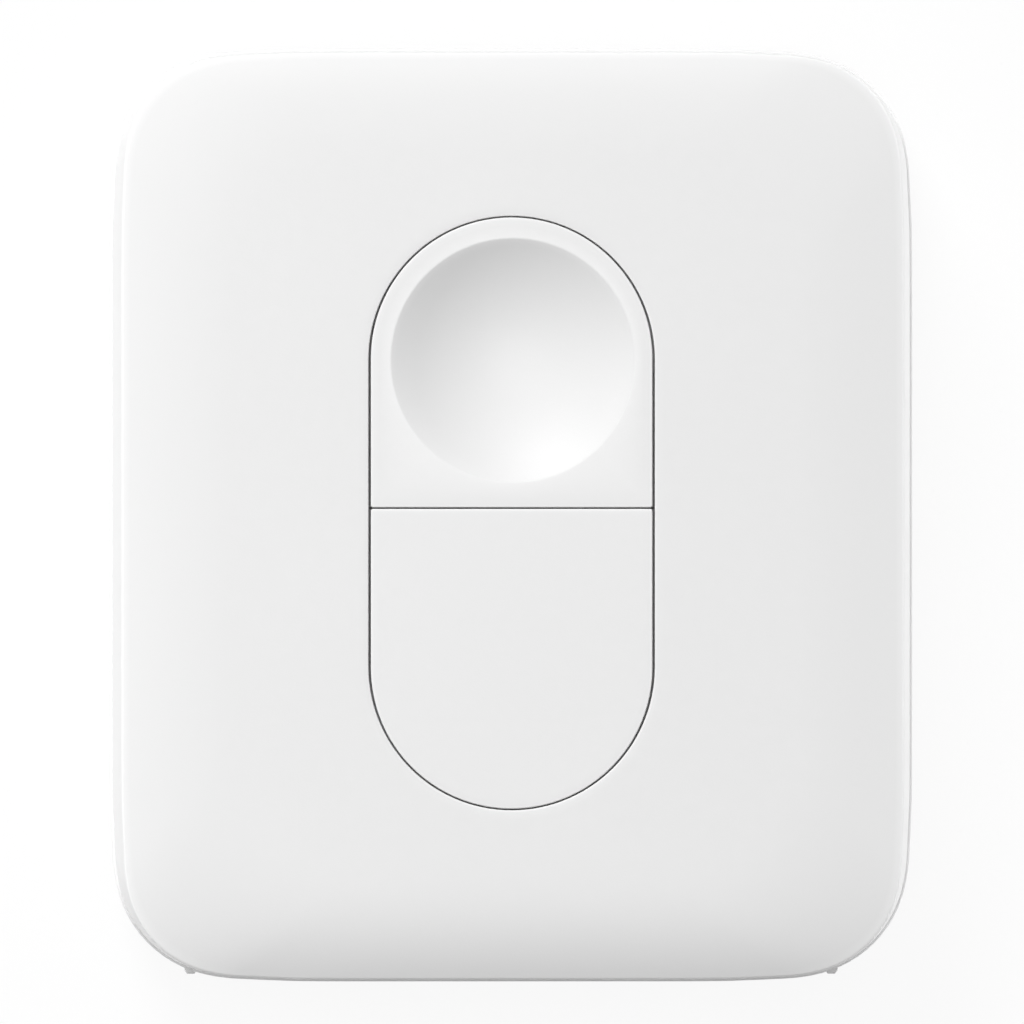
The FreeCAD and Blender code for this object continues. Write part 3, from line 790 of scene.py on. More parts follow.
def shell_outside():
    """Rings from the parting line to the top of the opening, with each ring's edge wear and painted
    highlight.
    """
    full = half_width - flat_x
    last_reach = 4.6
    roll_rings = 26
    # the rim and the parting line get edge wear and a painted highlight
    rim_wear_and_highlight, seam_wear_and_highlight = 0.08, 0.15
    corners = [
        (full - lip_inset, seam_height, 0.0),
        (full - seam_step, seam_height, 0.1),
        (full - lean_at(rim_height), top_height - face_fall + 0.005, rim_round),
        (last_reach, top_height - face_drop(last_reach), 0.0),
    ]
    rings = []
    wear_and_highlight = []
    for reach, z in rounded_path(corners, 8):
        on_side = reach >= roll_width
        rings.append(outline_ring(full - reach, z) if on_side else face_ring(reach, z))
        wear_and_highlight.append(wear_and_highlight_near(z, rim_height, rim_wear_and_highlight) + wear_and_highlight_near(z, seam_height, seam_wear_and_highlight))
    for i in range(1, roll_rings + 1):
        reach = last_reach * (1 - i / roll_rings)
        rings.append(face_ring(reach, top_height - face_drop(reach)))
        wear_and_highlight.append(0.0)
    return rings, wear_and_highlight


# %% Rings down the opening and along the inside


def opening_edge():
    """Rings from the flat face down the wall of the opening and round the collar.

    soft gives how far out of the opening and how far below the face its sunken edge lies.
    """
    soft = [(0.5, 0.0), (0.42, 0.0007), (0.34, 0.0026), (0.26, 0.0059), (0.18, 0.0105), (0.12, 0.0148)]
    rings = [stadium_ring(opening_radius + out, top_height - drop) for out, drop in soft]
    wear_and_highlight = [0.0] * len(rings)
    collar_out = collar_room + collar_wall
    ceiling_start = 3.0
    # the top of the opening's wall gets edge wear and a painted highlight
    wear_and_highlight_depth, wear_and_highlight_share = 0.12, 0.8
    corners = [
        (soft[-1][0], top_height - soft[-1][1], 0.0),
        (0.0, top_height - 0.025, 0.05),
        (0.0, ceiling_height, 0.05),
        (collar_room, ceiling_height, 0.05),
        (collar_room, collar_low, 0.1),
        (collar_out, collar_low, 0.1),
        (collar_out, ceiling_height, 0.15),
        (ceiling_start, ceiling_height, 0.0),
    ]
    for out, z in rounded_path(corners, 4)[1:]:
        rings.append(stadium_ring(opening_radius + out, z))
        wear_and_highlight.append(wear_and_highlight_share if z > top_height - wear_and_highlight_depth else 0.0)
    return rings, wear_and_highlight


def shell_inside():
    """Rings along the ceiling, down the inner wall and round the lip."""
    ceiling_radius = 8.06  # the ceiling rolls down on an arc, less than the face does
    ceiling_reach = 3.2
    ceiling_steps = 10
    wall_top = 9.5
    rings = []
    for i in range(ceiling_steps + 1):
        reach = ceiling_reach * i / ceiling_steps
        drop = ceiling_radius - math.sqrt(ceiling_radius**2 - reach**2)
        rings.append(ceiling_ring(reach, ceiling_height - drop))
    corners = [
        (side_wall + lean_at(wall_top), wall_top, 0.0),
        (side_wall + lean_at(lip_low), lip_low, 0.15),
        (lip_inset, lip_low, 0.15),
        (lip_inset, seam_height, 0.0),
    ]
    rings += [outline_ring(inset, z) for inset, z in rounded_path(corners, 3)[:-1]]
    return rings, [0.0] * len(rings)


# %% Build the shell
screw_x = 12.38
screw_y = 15.38
board_top = 8.0


def add_block(mesh, low, high):
    """A closed block between two corners, in millimetres."""
    x0, y0, z0 = low
    x1, y1, z1 = high
    flat = [(x0, y0), (x1, y0), (x1, y1), (x0, y1)]
    add_closed(mesh, [[(x, y, z) for x, y in flat] for z in (z0, z1)])


def front_shell():
    """The hose of rings, with a post for each screw and a rib from the post to the wall."""
    rings = []
    wear_and_highlight = []
    for part_rings, part_wear_and_highlight in (shell_outside(), opening_edge(), shell_inside()):
        rings += part_rings
        wear_and_highlight += part_wear_and_highlight
    mesh = bmesh.new()
    add_skin(mesh, rings, loop=True, wear_and_highlight=wear_and_highlight)
    hole, post, hole_top, post_top = 0.85, 2.1, 10.25, 10.9
    path = [
        (0, hole_top, 0),
        (hole, hole_top, 0),
        (hole, board_top, 0.1),
        (post, board_top, 0.15),
        (post, post_top, 0),
        (0, post_top, 0),
    ]
    rib_end, half_rib, rib_top = 17.2, 0.4, 10.55
    for x, y in ((1, 1), (-1, 1), (-1, -1), (1, -1)):
        x *= screw_x
        y *= screw_y
        add_turned(mesh, path, (x, y))
        low_x, high_x = sorted([x, math.copysign(rib_end, x)])
        add_block(mesh, (low_x, y - half_rib, board_top), (high_x, y + half_rib, rib_top))
    return finish_mesh(mesh, "front_shell")


place(front_shell(), "housing", "housing_white", finishes["housing_white"], "front_housing")

# %% [markdown]
# ## The keys
#
# Each key is half of the stadium, with nearly sharp corners at the split and a flange that
# keeps it under the shell. The upper key has a shallow round dimple, a cap of a sphere,
# that tells a thumb which key it is on. Its edge is crisp, so three narrow rings turn it.
# Its middle lies a little to the right of the key's own and below it.
# The lower key is plain and flat.

# %% Key outlines
key_radius = 6.453
key_arc = arc_y + 0.04
key_low = 9.9
flange_high = 10.55
flange_reach = 0.82
split = {1: 0.262, -1: -0.195}  # the split side of the upper (1) and lower (-1) key


def key_ring(side, inset, z, corner=0.1):
    """Outline of the upper (1) or lower (-1) key. A negative inset grows it except at the split."""
    side_steps, arc_steps, turn_steps, split_steps = 14, 64, 5, 24
    r = key_radius - inset
    low = split[side] + max(inset, 0.0)
    turn_y = low + corner
    turn_x = r - corner
    points = []
    for i in range(side_steps):
        points.append((r, turn_y + (key_arc - turn_y) * i / side_steps, z))
    for i in range(arc_steps):
        angle = math.pi * i / arc_steps
        points.append((r * math.cos(angle), key_arc + r * math.sin(angle), z))
    for i in range(side_steps):
        points.append((-r, key_arc + (turn_y - key_arc) * i / side_steps, z))
    for i in range(turn_steps):
        angle = math.pi + math.pi / 2 * i / turn_steps
        points.append((-turn_x + corner * math.cos(angle), turn_y + corner * math.sin(angle), z))
    for i in range(split_steps):
        points.append((-turn_x + 2 * turn_x * i / split_steps, low, z))
    for i in range(turn_steps):
        angle = math.pi * 1.5 + math.pi / 2 * i / turn_steps
        points.append((turn_x + corner * math.cos(angle), turn_y + corner * math.sin(angle), z))
    return shifted(points, side)


def circle_like(points, middle, radius, z):
    """A circle whose points lie in the directions of the given points."""
    row = []
    for x, y, _ in points:
        angle = math.atan2(y - middle[1], x - middle[0])
        row.append((middle[0] + radius * math.cos(angle), middle[1] + radius * math.sin(angle), z))
    return row


def key_sides(side):
    """Rings from the flange up over the rounded top edge to the flat top."""
    rings = [key_ring(side, -flange_reach, z, 0.2) for z in (key_low, flange_high)]
    rings.append(key_ring(side, 0.0, flange_high))
    edge_drop = 0.0085
    fade_start, fade_end = 0.09, 0.4
    edge = [
        (0.0, top_height - 0.6, 0.0),
        (0.0, top_height - 0.013, 0.055),
        (fade_start, top_height - edge_drop, 0.0),
    ]
    path = rounded_path(edge, 5)
    fade_steps = 5
    for i in range(1, fade_steps + 1):
        share = 1 - i / fade_steps
        path.append((fade_end - (fade_end - fade_start) * share, top_height - edge_drop * share**2))
    # the key's top edge gets edge wear and a painted highlight
    wear_and_highlight = [0.0] * len(rings) + [wear_and_highlight_near(inset, 0.03, 0.1) for inset, z in path]
    rings += [key_ring(side, inset, z) for inset, z in path]
    return rings, wear_and_highlight


print("points in a key's ring:", len(key_ring(1, 0.0, top_height)))

# %% Dimple
dimple_radius = 5.6
dimple_depth = 1.45
dimple_middle = (0.004, 7.13)
sphere_radius = (dimple_radius**2 + dimple_depth**2) / (2 * dimple_depth)


def dimple_height(radius):
    return top_height - dimple_depth + sphere_radius - math.sqrt(sphere_radius**2 - radius**2)


def dimple_rings(guide):
    """Rings over the dimple's crisp edge and down its bowl, with each ring's edge wear and painted
    highlight.
    """
    edge = [(0.075, 0.0), (0.035, 0.0015), (0.0, 0.0075)]
    rings = [circle_like(guide, dimple_middle, dimple_radius + out, top_height - drop) for out, drop in edge]
    edge_width = 0.04
    bowl_steps = 22
    for i in range(bowl_steps):
        radius = (dimple_radius - edge_width) * (1 - i / bowl_steps)
        rings.append(circle_like(guide, dimple_middle, radius, dimple_height(radius)))
    # the dimple's crisp edge gets half a share of edge wear and painted highlight
    return rings, [0.5] * len(edge) + [0.0] * bowl_steps


def close_pole(mesh, row, point):
    layer = mesh.verts.layers.float["edge_wear_and_highlight"]
    pole = mesh.verts.new(tuple(c * MM for c in point))
    pole[layer] = 0.0
    for i in range(len(row)):
        mesh.faces.new((row[i], row[(i + 1) % len(row)], pole))


print("dimple is cut from a sphere of radius", round(sphere_radius, 2))

# %% Key bodies
key_wall = 0.9
pocket_top = 11.1


def key_pocket():
    """The hollow in the corners of the upper key, round the solid part under its dimple."""
    half = key_radius - key_wall
    low = split[1] + opening_shift[1] + key_wall
    turn = math.acos(half / dimple_radius)
    arc_steps = 32
    x, y = dimple_middle
    edge = [(x + half, low)]
    for i in range(arc_steps + 1):
        angle = -turn - (math.pi - 2 * turn) * i / arc_steps
        edge.append((x + dimple_radius * math.cos(angle), y + dimple_radius * math.sin(angle)))
    edge.append((x - half, low))
    return closed_form([[(x, y, z) for x, y in edge] for z in (key_low - 0.5, pocket_top)])


def upper_key():
    mesh = bmesh.new()
    rings, wear_and_highlight = key_sides(1)
    bowl, bowl_wear_and_highlight = dimple_rings(rings[-1])
    rows = add_skin(mesh, rings + bowl, cap_first=True, wear_and_highlight=wear_and_highlight + bowl_wear_and_highlight)
    close_pole(mesh, rows[-1], (*dimple_middle, top_height - dimple_depth))
    turn_outwards(mesh)
    return finish_mesh(carve(mesh, key_pocket()), "upper_key_cap")


def lower_key():
    """The plain key, cored out, with two crossed ribs and a boss that rests on the blister."""
    mesh = bmesh.new()
    rings, wear_and_highlight = key_sides(-1)
    pocket = [key_ring(-1, key_wall, z, 0.2) for z in (pocket_top, key_low)]
    add_closed(mesh, pocket + rings, wear_and_highlight=[0.0] * len(pocket) + wear_and_highlight)
    rib_reach, half_rib, rib_low, rib_top = 6.0, 0.4, 10.2, 11.3
    boss_radius = 1.2
    for x, y in ((rib_reach, half_rib), (half_rib, rib_reach)):
        add_block(mesh, (-x, -arc_y - y, rib_low), (x, -arc_y + y, rib_top))
    boss = [(0, key_low, 0), (boss_radius, key_low, 0.1), (boss_radius, rib_top, 0), (0, rib_top, 0)]
    add_turned(mesh, boss, (0.0, -arc_y))
    return finish_mesh(mesh, "lower_key_cap")


place(upper_key(), "upper_key", "key_white", finishes["key_white"], "upper_button")
place(lower_key(), "lower_key", "key_white", finishes["key_white"], "lower_button")

# %% [markdown]
# ## The rear cover
#
# The cover is a shallow tub. It stands 0.12 mm out beyond the shell, which draws the fine
# parting line round the outline. Inside, a rebate takes the shell's lip, a low rib stiffens
# the floor and a ring holds the foam pad under the cell. Four pegs of crossed webs push into
# the tray. A groove in the lower side gives a nail a hold to pull the cover off, and two
# small tabs stand out at the lower corners.

# %% Cover's groove and tabs
cover_floor = 1.2
cover_top = 3.35
rebate_low = 2.45


def nail_groove():
    """A groove in the lower side, just under the edge, where a nail gets hold of the cover."""
    half, low, top, corner = 3.5, 2.1, 2.9, 0.2
    turn_steps = 4
    edge = []
    for cx, cz, start in ((half, top, 0), (-half, top, 1), (-half, low, 2), (half, low, 3)):
        sx = math.copysign(corner, cx)
        sz = corner if start < 2 else -corner
        for i in range(turn_steps + 1):
            angle = math.pi / 2 * (start + i / turn_steps)
            edge.append((cx - sx + corner * math.cos(angle), cz - sz + corner * math.sin(angle)))
    return closed_form([[(x, y, z) for x, z in edge] for y in (-half_length - 1.0, -half_length + 0.5)])


def add_tab(mesh, side):
    """A tab with broken edges at one of the lower corners."""
    tab_x = 14.79
    root, tip = -20.6, -21.14
    half = 0.26
    plan = [(-half, root), (-half, -21.02), (-0.2, tip), (0.15, tip), (half, -20.98), (half, root)]
    layers = [(0.03, 2.2), (0.0, 2.28), (0.0, 3.2), (0.05, 3.28)]
    add_closed(mesh, [[(side * (tab_x + x), y + less, z) for x, y in plan] for less, z in layers])


# %% Cover
pad_radius = 9.0


def low_ridge(start, width, top, soft):
    """The profile of a ridge on the cover's floor, sunk into it a little."""
    root = cover_floor - 0.1
    end = start + width
    return [(start, root, 0.0), (start, top, soft), (end, top, soft), (end, root, 0.0)]


def cover_tub():
    """The tub with its groove, its rib, the ring for the foam pad and the two tabs."""
    mesh = bmesh.new()
    recess_inset, recess_depth = 3.0, 0.2
    edge_wall = 0.92
    corners = [
        (recess_inset + 0.2, recess_depth, 0.0),
        (recess_inset, recess_depth, 0.0),
        (recess_inset, 0.0, 0.05),
        (0.65, 0.0, 0.25),
        (0.13, 0.52, 0.35),
        (0.002, cover_top, 0.1),
        (edge_wall, cover_top, 0.05),
        (edge_wall, rebate_low, 0.0),
        (side_wall, rebate_low, 0.05),
        (side_wall, cover_floor, 0.15),
        (side_wall + 0.4, cover_floor, 0.0),
    ]
    path = rounded_path(corners, 5)
    rings = [outline_ring(inset, z) for inset, z in path]
    # the cover's top edge gets edge wear and a painted highlight
    add_closed(mesh, rings, wear_and_highlight=[wear_and_highlight_near(z, cover_top, 0.12) for inset, z in path])
    turn_outwards(mesh)
    mesh = carve(mesh, nail_groove())
    rib = rounded_path(low_ridge(2.9, 0.8, 2.0, 0.1), 3)
    add_skin(mesh, [outline_ring(inset, z) for inset, z in rib], loop=True)
    pad_ring = rounded_path(low_ridge(pad_radius + 0.05, 0.8, 1.5, 0.08), 3)
    add_skin(mesh, turned_rings(pad_ring, 120), loop=True)
    for side in (-1, 1):
        add_tab(mesh, side)
    return finish_mesh(mesh, "rear_tub")


place(cover_tub(), "back", "housing_white", finishes["housing_white"], "rear_cover")

# %% [markdown]
# ## Repeats by Geometry Nodes
#
# Four pegs, four screws and a row of six capacitors are each one form repeated. A small
# tree lays out a grid of points, sets one instance on every point and makes them real. Its
# inputs are the form, the counts and the spacing, so the same tree serves all three.

# %% Grid tree


def grid_tree():
    tree = bpy.data.node_groups.new("repeat_on_grid", "GeometryNodeTree")
    tree.interface.new_socket("Geometry", in_out="OUTPUT", socket_type="NodeSocketGeometry")
    for label, kind in (
        ("Form", "NodeSocketObject"),
        ("Count X", "NodeSocketInt"),
        ("Count Y", "NodeSocketInt"),
        ("Size X", "NodeSocketFloat"),
        ("Size Y", "NodeSocketFloat"),
        ("Middle", "NodeSocketVector"),
        ("Finish", "NodeSocketMaterial"),
    ):
        tree.interface.new_socket(label, in_out="INPUT", socket_type=kind)
    inside = tree.nodes.new("NodeGroupInput")
    outside = tree.nodes.new("NodeGroupOutput")
    grid = tree.nodes.new("GeometryNodeMeshGrid")
    shift = tree.nodes.new("GeometryNodeTransform")
    form = tree.nodes.new("GeometryNodeObjectInfo")
    repeat = tree.nodes.new("GeometryNodeInstanceOnPoints")
    real = tree.nodes.new("GeometryNodeRealizeInstances")
    finish = tree.nodes.new("GeometryNodeSetMaterial")
    for source, output, target, socket in (
        (inside, "Count X", grid, "Vertices X"),
        (inside, "Count Y", grid, "Vertices Y"),
        (inside, "Size X", grid, "Size X"),
        (inside, "Size Y", grid, "Size Y"),
        (grid, "Mesh", shift, "Geometry"),
        (inside, "Middle", shift, "Translation"),
        (inside, "Form", form, "Object"),
        (shift, "Geometry", repeat, "Points"),
        (form, "Geometry", repeat, "Instance"),
        (repeat, "Instances", real, "Geometry"),
        (real, "Geometry", finish, "Geometry"),
        (inside, "Finish", finish, "Material"),
        (finish, "Geometry", outside, "Geometry"),
    ):
        tree.links.new(source.outputs[output], target.inputs[socket])
    return tree


repeat_on_grid = grid_tree()
print("grid tree:", len(repeat_on_grid.nodes), "nodes")

# %% Repeat helper


def repeat(form, name, counts, sizes, middle, material):
    """Repeats a form on a grid and returns one plain mesh object. The form itself is removed."""
    values = {
        "Form": form,
        "Count X": counts[0],
        "Count Y": counts[1],
        "Size X": sizes[0] * MM,
        "Size Y": sizes[1] * MM,
        "Middle": tuple(c * MM for c in middle),
        "Finish": material,
    }
    carrier = linked(name, bpy.data.meshes.new(name))
    modifier = carrier.modifiers.new("repeat", "NODES")
    modifier.node_group = repeat_on_grid
    for socket in repeat_on_grid.interface.items_tree:
        if socket.in_out == "INPUT":
            modifier[socket.identifier] = values[socket.name]
    data = evaluated_data(carrier)
    carrier.modifiers.clear()
    carrier.data = data
    data.name = name
    bpy.data.objects.remove(form)
    return carrier


# %% [markdown]
# The pegs are two crossed webs with tapered tips, which bend a little as they go into their
# sockets. A cross of rings would need a star-shaped outline, and that is just as simple to
# write down: twelve corners, drawn in towards the tip.

# %% Pegs
peg_spacing_x, peg_spacing_y = 12.0, 33.84


def cross_outline(reach, web, z):
    """Twelve corners of an upright cross: three for each arm, turned a quarter each time."""
    w = web / 2
    x, y = [reach, reach, w], [-w, w, w]
    corners = []
    for _ in range(4):
        corners += [(cx, cy, z) for cx, cy in zip(x, y)]
        x, y = [-cy for cy in y], x
    return corners


def peg_form():
    layers = [(0.97, 0.7, cover_floor - 0.1), (0.97, 0.7, 5.75), (0.9, 0.66, 5.9), (0.72, 0.6, 6.0)]
    return finish_mesh(closed_form([cross_outline(*layer) for layer in layers]), "peg_form")


pegs = repeat(
    peg_form(), "cover_pegs", (2, 2), (peg_spacing_x, peg_spacing_y), (0, 0, 0), finishes["housing_white"]
)
place(pegs, "back", "housing_white", finishes["housing_white"], "rear_cover")

# %% [markdown]
# The tray is held by four self-tapping screws with pan heads. The thread is one sheet of
# quads: the radius rises and falls with height and turns with the angle, so the crest runs
# round as a true helix. A cross is cut into the head.

# %% Screws
thread_pitch = 0.62
thread_core = 0.58
thread_height = 0.2
crest_half = 0.28  # half of the crest's width, as a share of a turn


def thread_radius(z, angle):
    """Radius of the threaded shank: a narrow crest every turn."""
    place_on_turn = (z / thread_pitch - angle / (2 * math.pi)) % 1.0
    crest = max(0.0, 1 - abs(place_on_turn - 0.5) / crest_half)
    return thread_core + thread_height * crest


def thread_ring(z, angles, share=1.0):
    points = []
    for a in angles:
        radius = share * thread_radius(z, a)
        points.append((radius * math.cos(a), radius * math.sin(a), z))
    return points


def screw_form():
    turn_steps = 24
    angles = circle_angles(turn_steps)
    head_low, head_high, head_radius, neck = 2.4, 3.5, 1.7, 0.78
    head = [
        (0, head_low, 0),
        (head_radius, head_low, 0.42),
        (head_radius, head_high, 0.08),
        (neck, head_high, 0.0),
        (neck, head_high + 0.1, 0.0),
    ]
    rings = turned_rings(rounded_path(head, 5)[1:], turn_steps)
    low, high, tip = 3.7, 9.4, 10.15
    ring_gap = 0.08
    tip_taper, taper_power = 0.75, 1.5
    shank_steps = int((high - low) / ring_gap)
    for i in range(shank_steps + 1):
        rings.append(thread_ring(low + (high - low) * i / shank_steps, angles))
    tip_steps = 8
    for i in range(1, tip_steps):
        share = 1 - tip_taper * (i / tip_steps) ** taper_power
        rings.append(thread_ring(high + (tip - high) * i / tip_steps, angles, share))
    recess = [cross_outline(1.0, 0.36, 2.3), cross_outline(0.94, 0.34, 2.5), cross_outline(0.35, 0.24, 3.25)]
    return finish_mesh(carve(closed_form(rings), closed_form(recess)), "screw_form", 28.0)


screws = repeat(
    screw_form(), "tray_fixings", (2, 2), (2 * screw_x, 2 * screw_y), (0, 0, 0), finishes["screw_steel"]
)
place(screws, "housing", "screw_steel", finishes["screw_steel"], "tray_screws")

# %% [markdown]
# A chip capacitor is a ceramic block 1 mm long with a tinned cap over each end. The caps'
# corners carry the mark that the finish turns into metal. Six of them stand in a row.

# %% Capacitors
capacitor_row = (12.776, -5.6, 0)
capacitor_row_length = 7.0
capacitor_axis_z = 8.25
cap_break = 0.04


def capacitor_form():
    mesh = bmesh.new()
    cap_half, body_half = 0.25, 0.235
    blocks = ((-0.5, -0.26, cap_half, 1.0), (-0.27, 0.27, body_half, 0.0), (0.26, 0.5, cap_half, 1.0))
    for low, high, half, mark in blocks:
        rings = []
        small = half - cap_break
        for x, h in ((low, small), (low + 0.03, half), (high - 0.03, half), (high, small)):
            rings.append([(x, y, capacitor_axis_z + z) for y, z in ((-h, -h), (h, -h), (h, h), (-h, h))])
        add_closed(mesh, rings, wear_and_highlight=[mark] * 4)
    turn_outwards(mesh)
    return finish_mesh(mesh, "capacitor_form")


tinned = finishes["capacitor_tan"]
row_size = (0, capacitor_row_length)
capacitors = repeat(capacitor_form(), "capacitor_row", (1, 6), row_size, capacitor_row, tinned)
place(capacitors, "housing", "ceramic_tan", tinned, "chip_capacitors")

# %% [markdown]
# ## The coin cell
#
# A coin cell is a pressed can crimped over a ring of plastic, with a cap in the middle. The
# can is the positive side, and a plus sign is pressed into its flat face. Cap, ring and the
# three discs inside are turned forms. The discs are never seen, but they are there.

# %% Can
cell_low = 1.6
cell_high = cell_low + 5.0
can_radius = 12.25
can_wall = 0.25
fine_turn = 128


def cell_can():
    low = cell_low
    inner = can_radius - can_wall
    corners = [
        (0, low, 0),
        (can_radius, low, 0.35),
        (can_radius, low + 4.0, 0.3),
        (11.95, low + 4.62, 0.25),
        (11.42, low + 4.85, 0.05),
        (11.4, low + 4.6, 0.0),
        (11.75, low + 4.35, 0.2),
        (inner, low + 3.85, 0.1),
        (inner, low + can_wall, 0.2),
        (0, low + can_wall, 0),
    ]
    mesh = bmesh.new()
    add_turned(mesh, corners, turn_steps=fine_turn, steps=5)
    turn_outwards(mesh)
    plus_reach, plus_web, plus_depth, plus_y = 2.3, 0.8, 0.07, 6.2
    sign = closed_form([cross_outline(plus_reach, plus_web, z) for z in (low - 0.5, low + plus_depth)])
    bmesh.ops.translate(sign, vec=(0, plus_y * MM, 0), verts=sign.verts)
    return finish_mesh(carve(mesh, sign), "cell_can_pressed")


place(cell_can(), "coin_cell", "cell_steel", finishes["cell_steel"], "cell_can")

# %% Cap and sealing ring
cap_path = [
    (0, cell_high - 0.25, 0),
    (10.35, cell_high - 0.25, 0.2),
    (10.35, cell_low + 0.9, 0.0),
    (10.6, cell_low + 0.9, 0.0),
    (10.6, cell_high - 0.35, 0.25),
    (10.2, cell_high - 0.02, 0.15),
    (9.6, cell_high - 0.02, 0.1),
    (9.3, cell_high, 0.1),
    (0, cell_high, 0),
]
gasket_path = [
    (9.85, cell_low + 0.55, 0),
    (9.85, cell_low + 0.3, 0.08),
    (11.94, cell_low + 0.3, 0.15),
    (11.94, cell_low + 3.72, 0.15),
    (11.3, cell_low + 4.45, 0.2),
    (10.66, cell_low + 4.5, 0.1),
    (10.66, cell_low + 0.84, 0.05),
    (9.85, cell_low + 0.84, 0.05),
    (9.85, cell_low + 0.55, 0),
]


def turned_ring(corners, name):
    """A closed ring turned about the axis: its path is a loop that never meets the axis."""
    mesh = bmesh.new()
    add_skin(mesh, turned_rings(rounded_path(corners, 3)[:-1], fine_turn), loop=True)
    return finish_mesh(mesh, name)


cell_cap = lathe(cap_path, "cell_cap_pressed", fine_turn)
place(cell_cap, "coin_cell", "cell_steel", finishes["cap_steel"], "cell_cap")
sealing_ring = turned_ring(gasket_path, "cell_sealing_ring")
place(sealing_ring, "coin_cell", "seal_plastic", finishes["seal_plastic"], "cell_gasket")

# %% Discs inside the cell
disc_radius = 9.74


def disc(radius, low, high, soft, name):
    return lathe([(0, low, 0), (radius, low, soft), (radius, high, soft), (0, high, 0)], name, steps=4)


discs = [
    ("cell_pressed_disc", 1.88, 4.46, 0.1, "cathode_pressed", "cell_cathode"),
    ("cell_paper_disc", 4.49, 4.61, 0.03, "separator_paper", "cell_separator"),
    ("cell_metal_disc", 4.64, 6.32, 0.1, "anode_metal", "cell_anode"),
]
for name, low, high, soft, finish, node in discs:
    place(disc(disc_radius, low, high, soft, name), "coin_cell", finish, finishes[finish], node)

# %% [markdown]
# A thin disc of foam lies in the ring on the cover and keeps the cell from rattling. Its
# upper edge is worn round, and its cells show as a fine pitted surface.

# %% Foam pad
pad_thickness = 0.35
pad = disc(pad_radius, cover_floor, cover_floor + pad_thickness, 0.1, "cell_foam_pad")
place(pad, "back", "foam_dark", finishes["foam_dark"], "cell_cushion")

# %% [markdown]
# ## The soft keypad and the snap domes
#
# One silicone moulding lies over the switches: a sheet on a skirt, with a hollow blister
# under each key. The sheet stays still as a key goes down, but a blister folds. So each
# blister is a piece of its own, and so is the steel dome under it.

# %% Keypad sheet
pad_low, pad_high = 8.9, 9.3
skirt_radius, sheet_radius = 7.4, 8.4
sheet_break = 0.1
blister_root = 2.155  # where a blister's wall leaves the sheet
cone_low_radius = 2.8


def cone(y):
    """The tapered hole under a blister, a little longer than the sheet is thick."""
    over = 0.1
    low, high = pad_low, pad_high
    slope = (blister_root - cone_low_radius) / (high - low)
    path = [
        (0, low - over, 0),
        (cone_low_radius - over * slope, low - over, 0),
        (blister_root + over * slope, high + over, 0),
        (0, high + over, 0),
    ]
    mesh = bmesh.new()
    add_turned(mesh, path, (0, y), 64)
    turn_outwards(mesh)
    return mesh


def keypad_sheet():
    profile = [
        (skirt_radius, pad_low),
        (skirt_radius, board_top),
        (sheet_radius, board_top),
        (sheet_radius, pad_high - sheet_break),
        (sheet_radius - sheet_break, pad_high),
    ]
    mesh = closed_form([stadium_ring(radius, z) for radius, z in profile])
    return finish_mesh(carve(mesh, cone(arc_y), cone(-arc_y)), "keypad_sheet")


place(keypad_sheet(), "housing", "silicone_grey", finishes["silicone_grey"], "silicone_keypad")

# %% Blisters
blister_path = [
    (0, 9.52, 0),
    (1.8, 9.52, 0.1),
    (blister_root, pad_high, 0),
    (3.2, pad_high, 0.02),
    (2.2, 9.88, 0.15),
    (0, 9.88, 0),
]
for name, side, joint in (("upper", 1, "upper_key_press"), ("lower", -1, "lower_key_press")):
    blister = lathe(blister_path, name + "_blister", 72, (0, side * arc_y), 4)
    place(blister, "housing", "silicone_grey", finishes["silicone_grey"], "silicone_keypad")
    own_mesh(blister)

# %% Snap domes
dome_rise = 0.25
dome_sheet = 0.08


def snap_dome(name, foot, low, up, middle):
    """A thin pressed dome that rises from low, upwards (1) or downwards (-1)."""
    steps = 10
    crown_power = 2.2
    inner_share, foot_share = 0.95, 0.94
    least_rise = 0.012
    outer = []
    inner = []
    for i in range(steps + 1):
        share = i / steps
        crown = dome_rise * (1 - share**crown_power)
        outer.append((foot * share, low + up * crown, 0))
        inner.append((foot * share * inner_share, low + up * max(crown - dome_sheet, 0.0), 0))
    inner = [point for point in inner if abs(point[1] - low) > least_rise]
    inner.append((foot * foot_share, low, 0))
    return lathe(outer + inner[::-1], name, 72, middle, 1)


domes = [
    ("upper_snap_dome", 1.8, 8.3, 1, (0, arc_y), "upper_key_press", 0.08, "upper_switch_dome"),
    ("lower_snap_dome", 1.8, 8.3, 1, (0, -arc_y), "lower_key_press", 0.08, "lower_switch_dome"),
    ("pairing_snap_dome", 1.05, 6.9, -1, (0, -15.985), "pairing_press", 0.26, "pairing_switch_dome"),
]
for name, foot, low, up, middle, joint, keep, node in domes:
    dome = snap_dome(name, foot, low, up, middle)
    place(dome, "housing", "spring_steel", finishes["spring_steel"], node)
    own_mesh(dome)

# %% [markdown]
# ## Pieces that keep their imported shape
#
# The tray, the board, the contacts, the switch bodies and the small parts have the right
# shape already. A imported solid is a set of loose triangles with hard edges, so a copy is
# merged, its flat faces are joined, and its real edges get a narrow bevel that catches the
# light. The bevel's faces carry the edge wear and, on plastic, a painted highlight.

# %% Refining helper


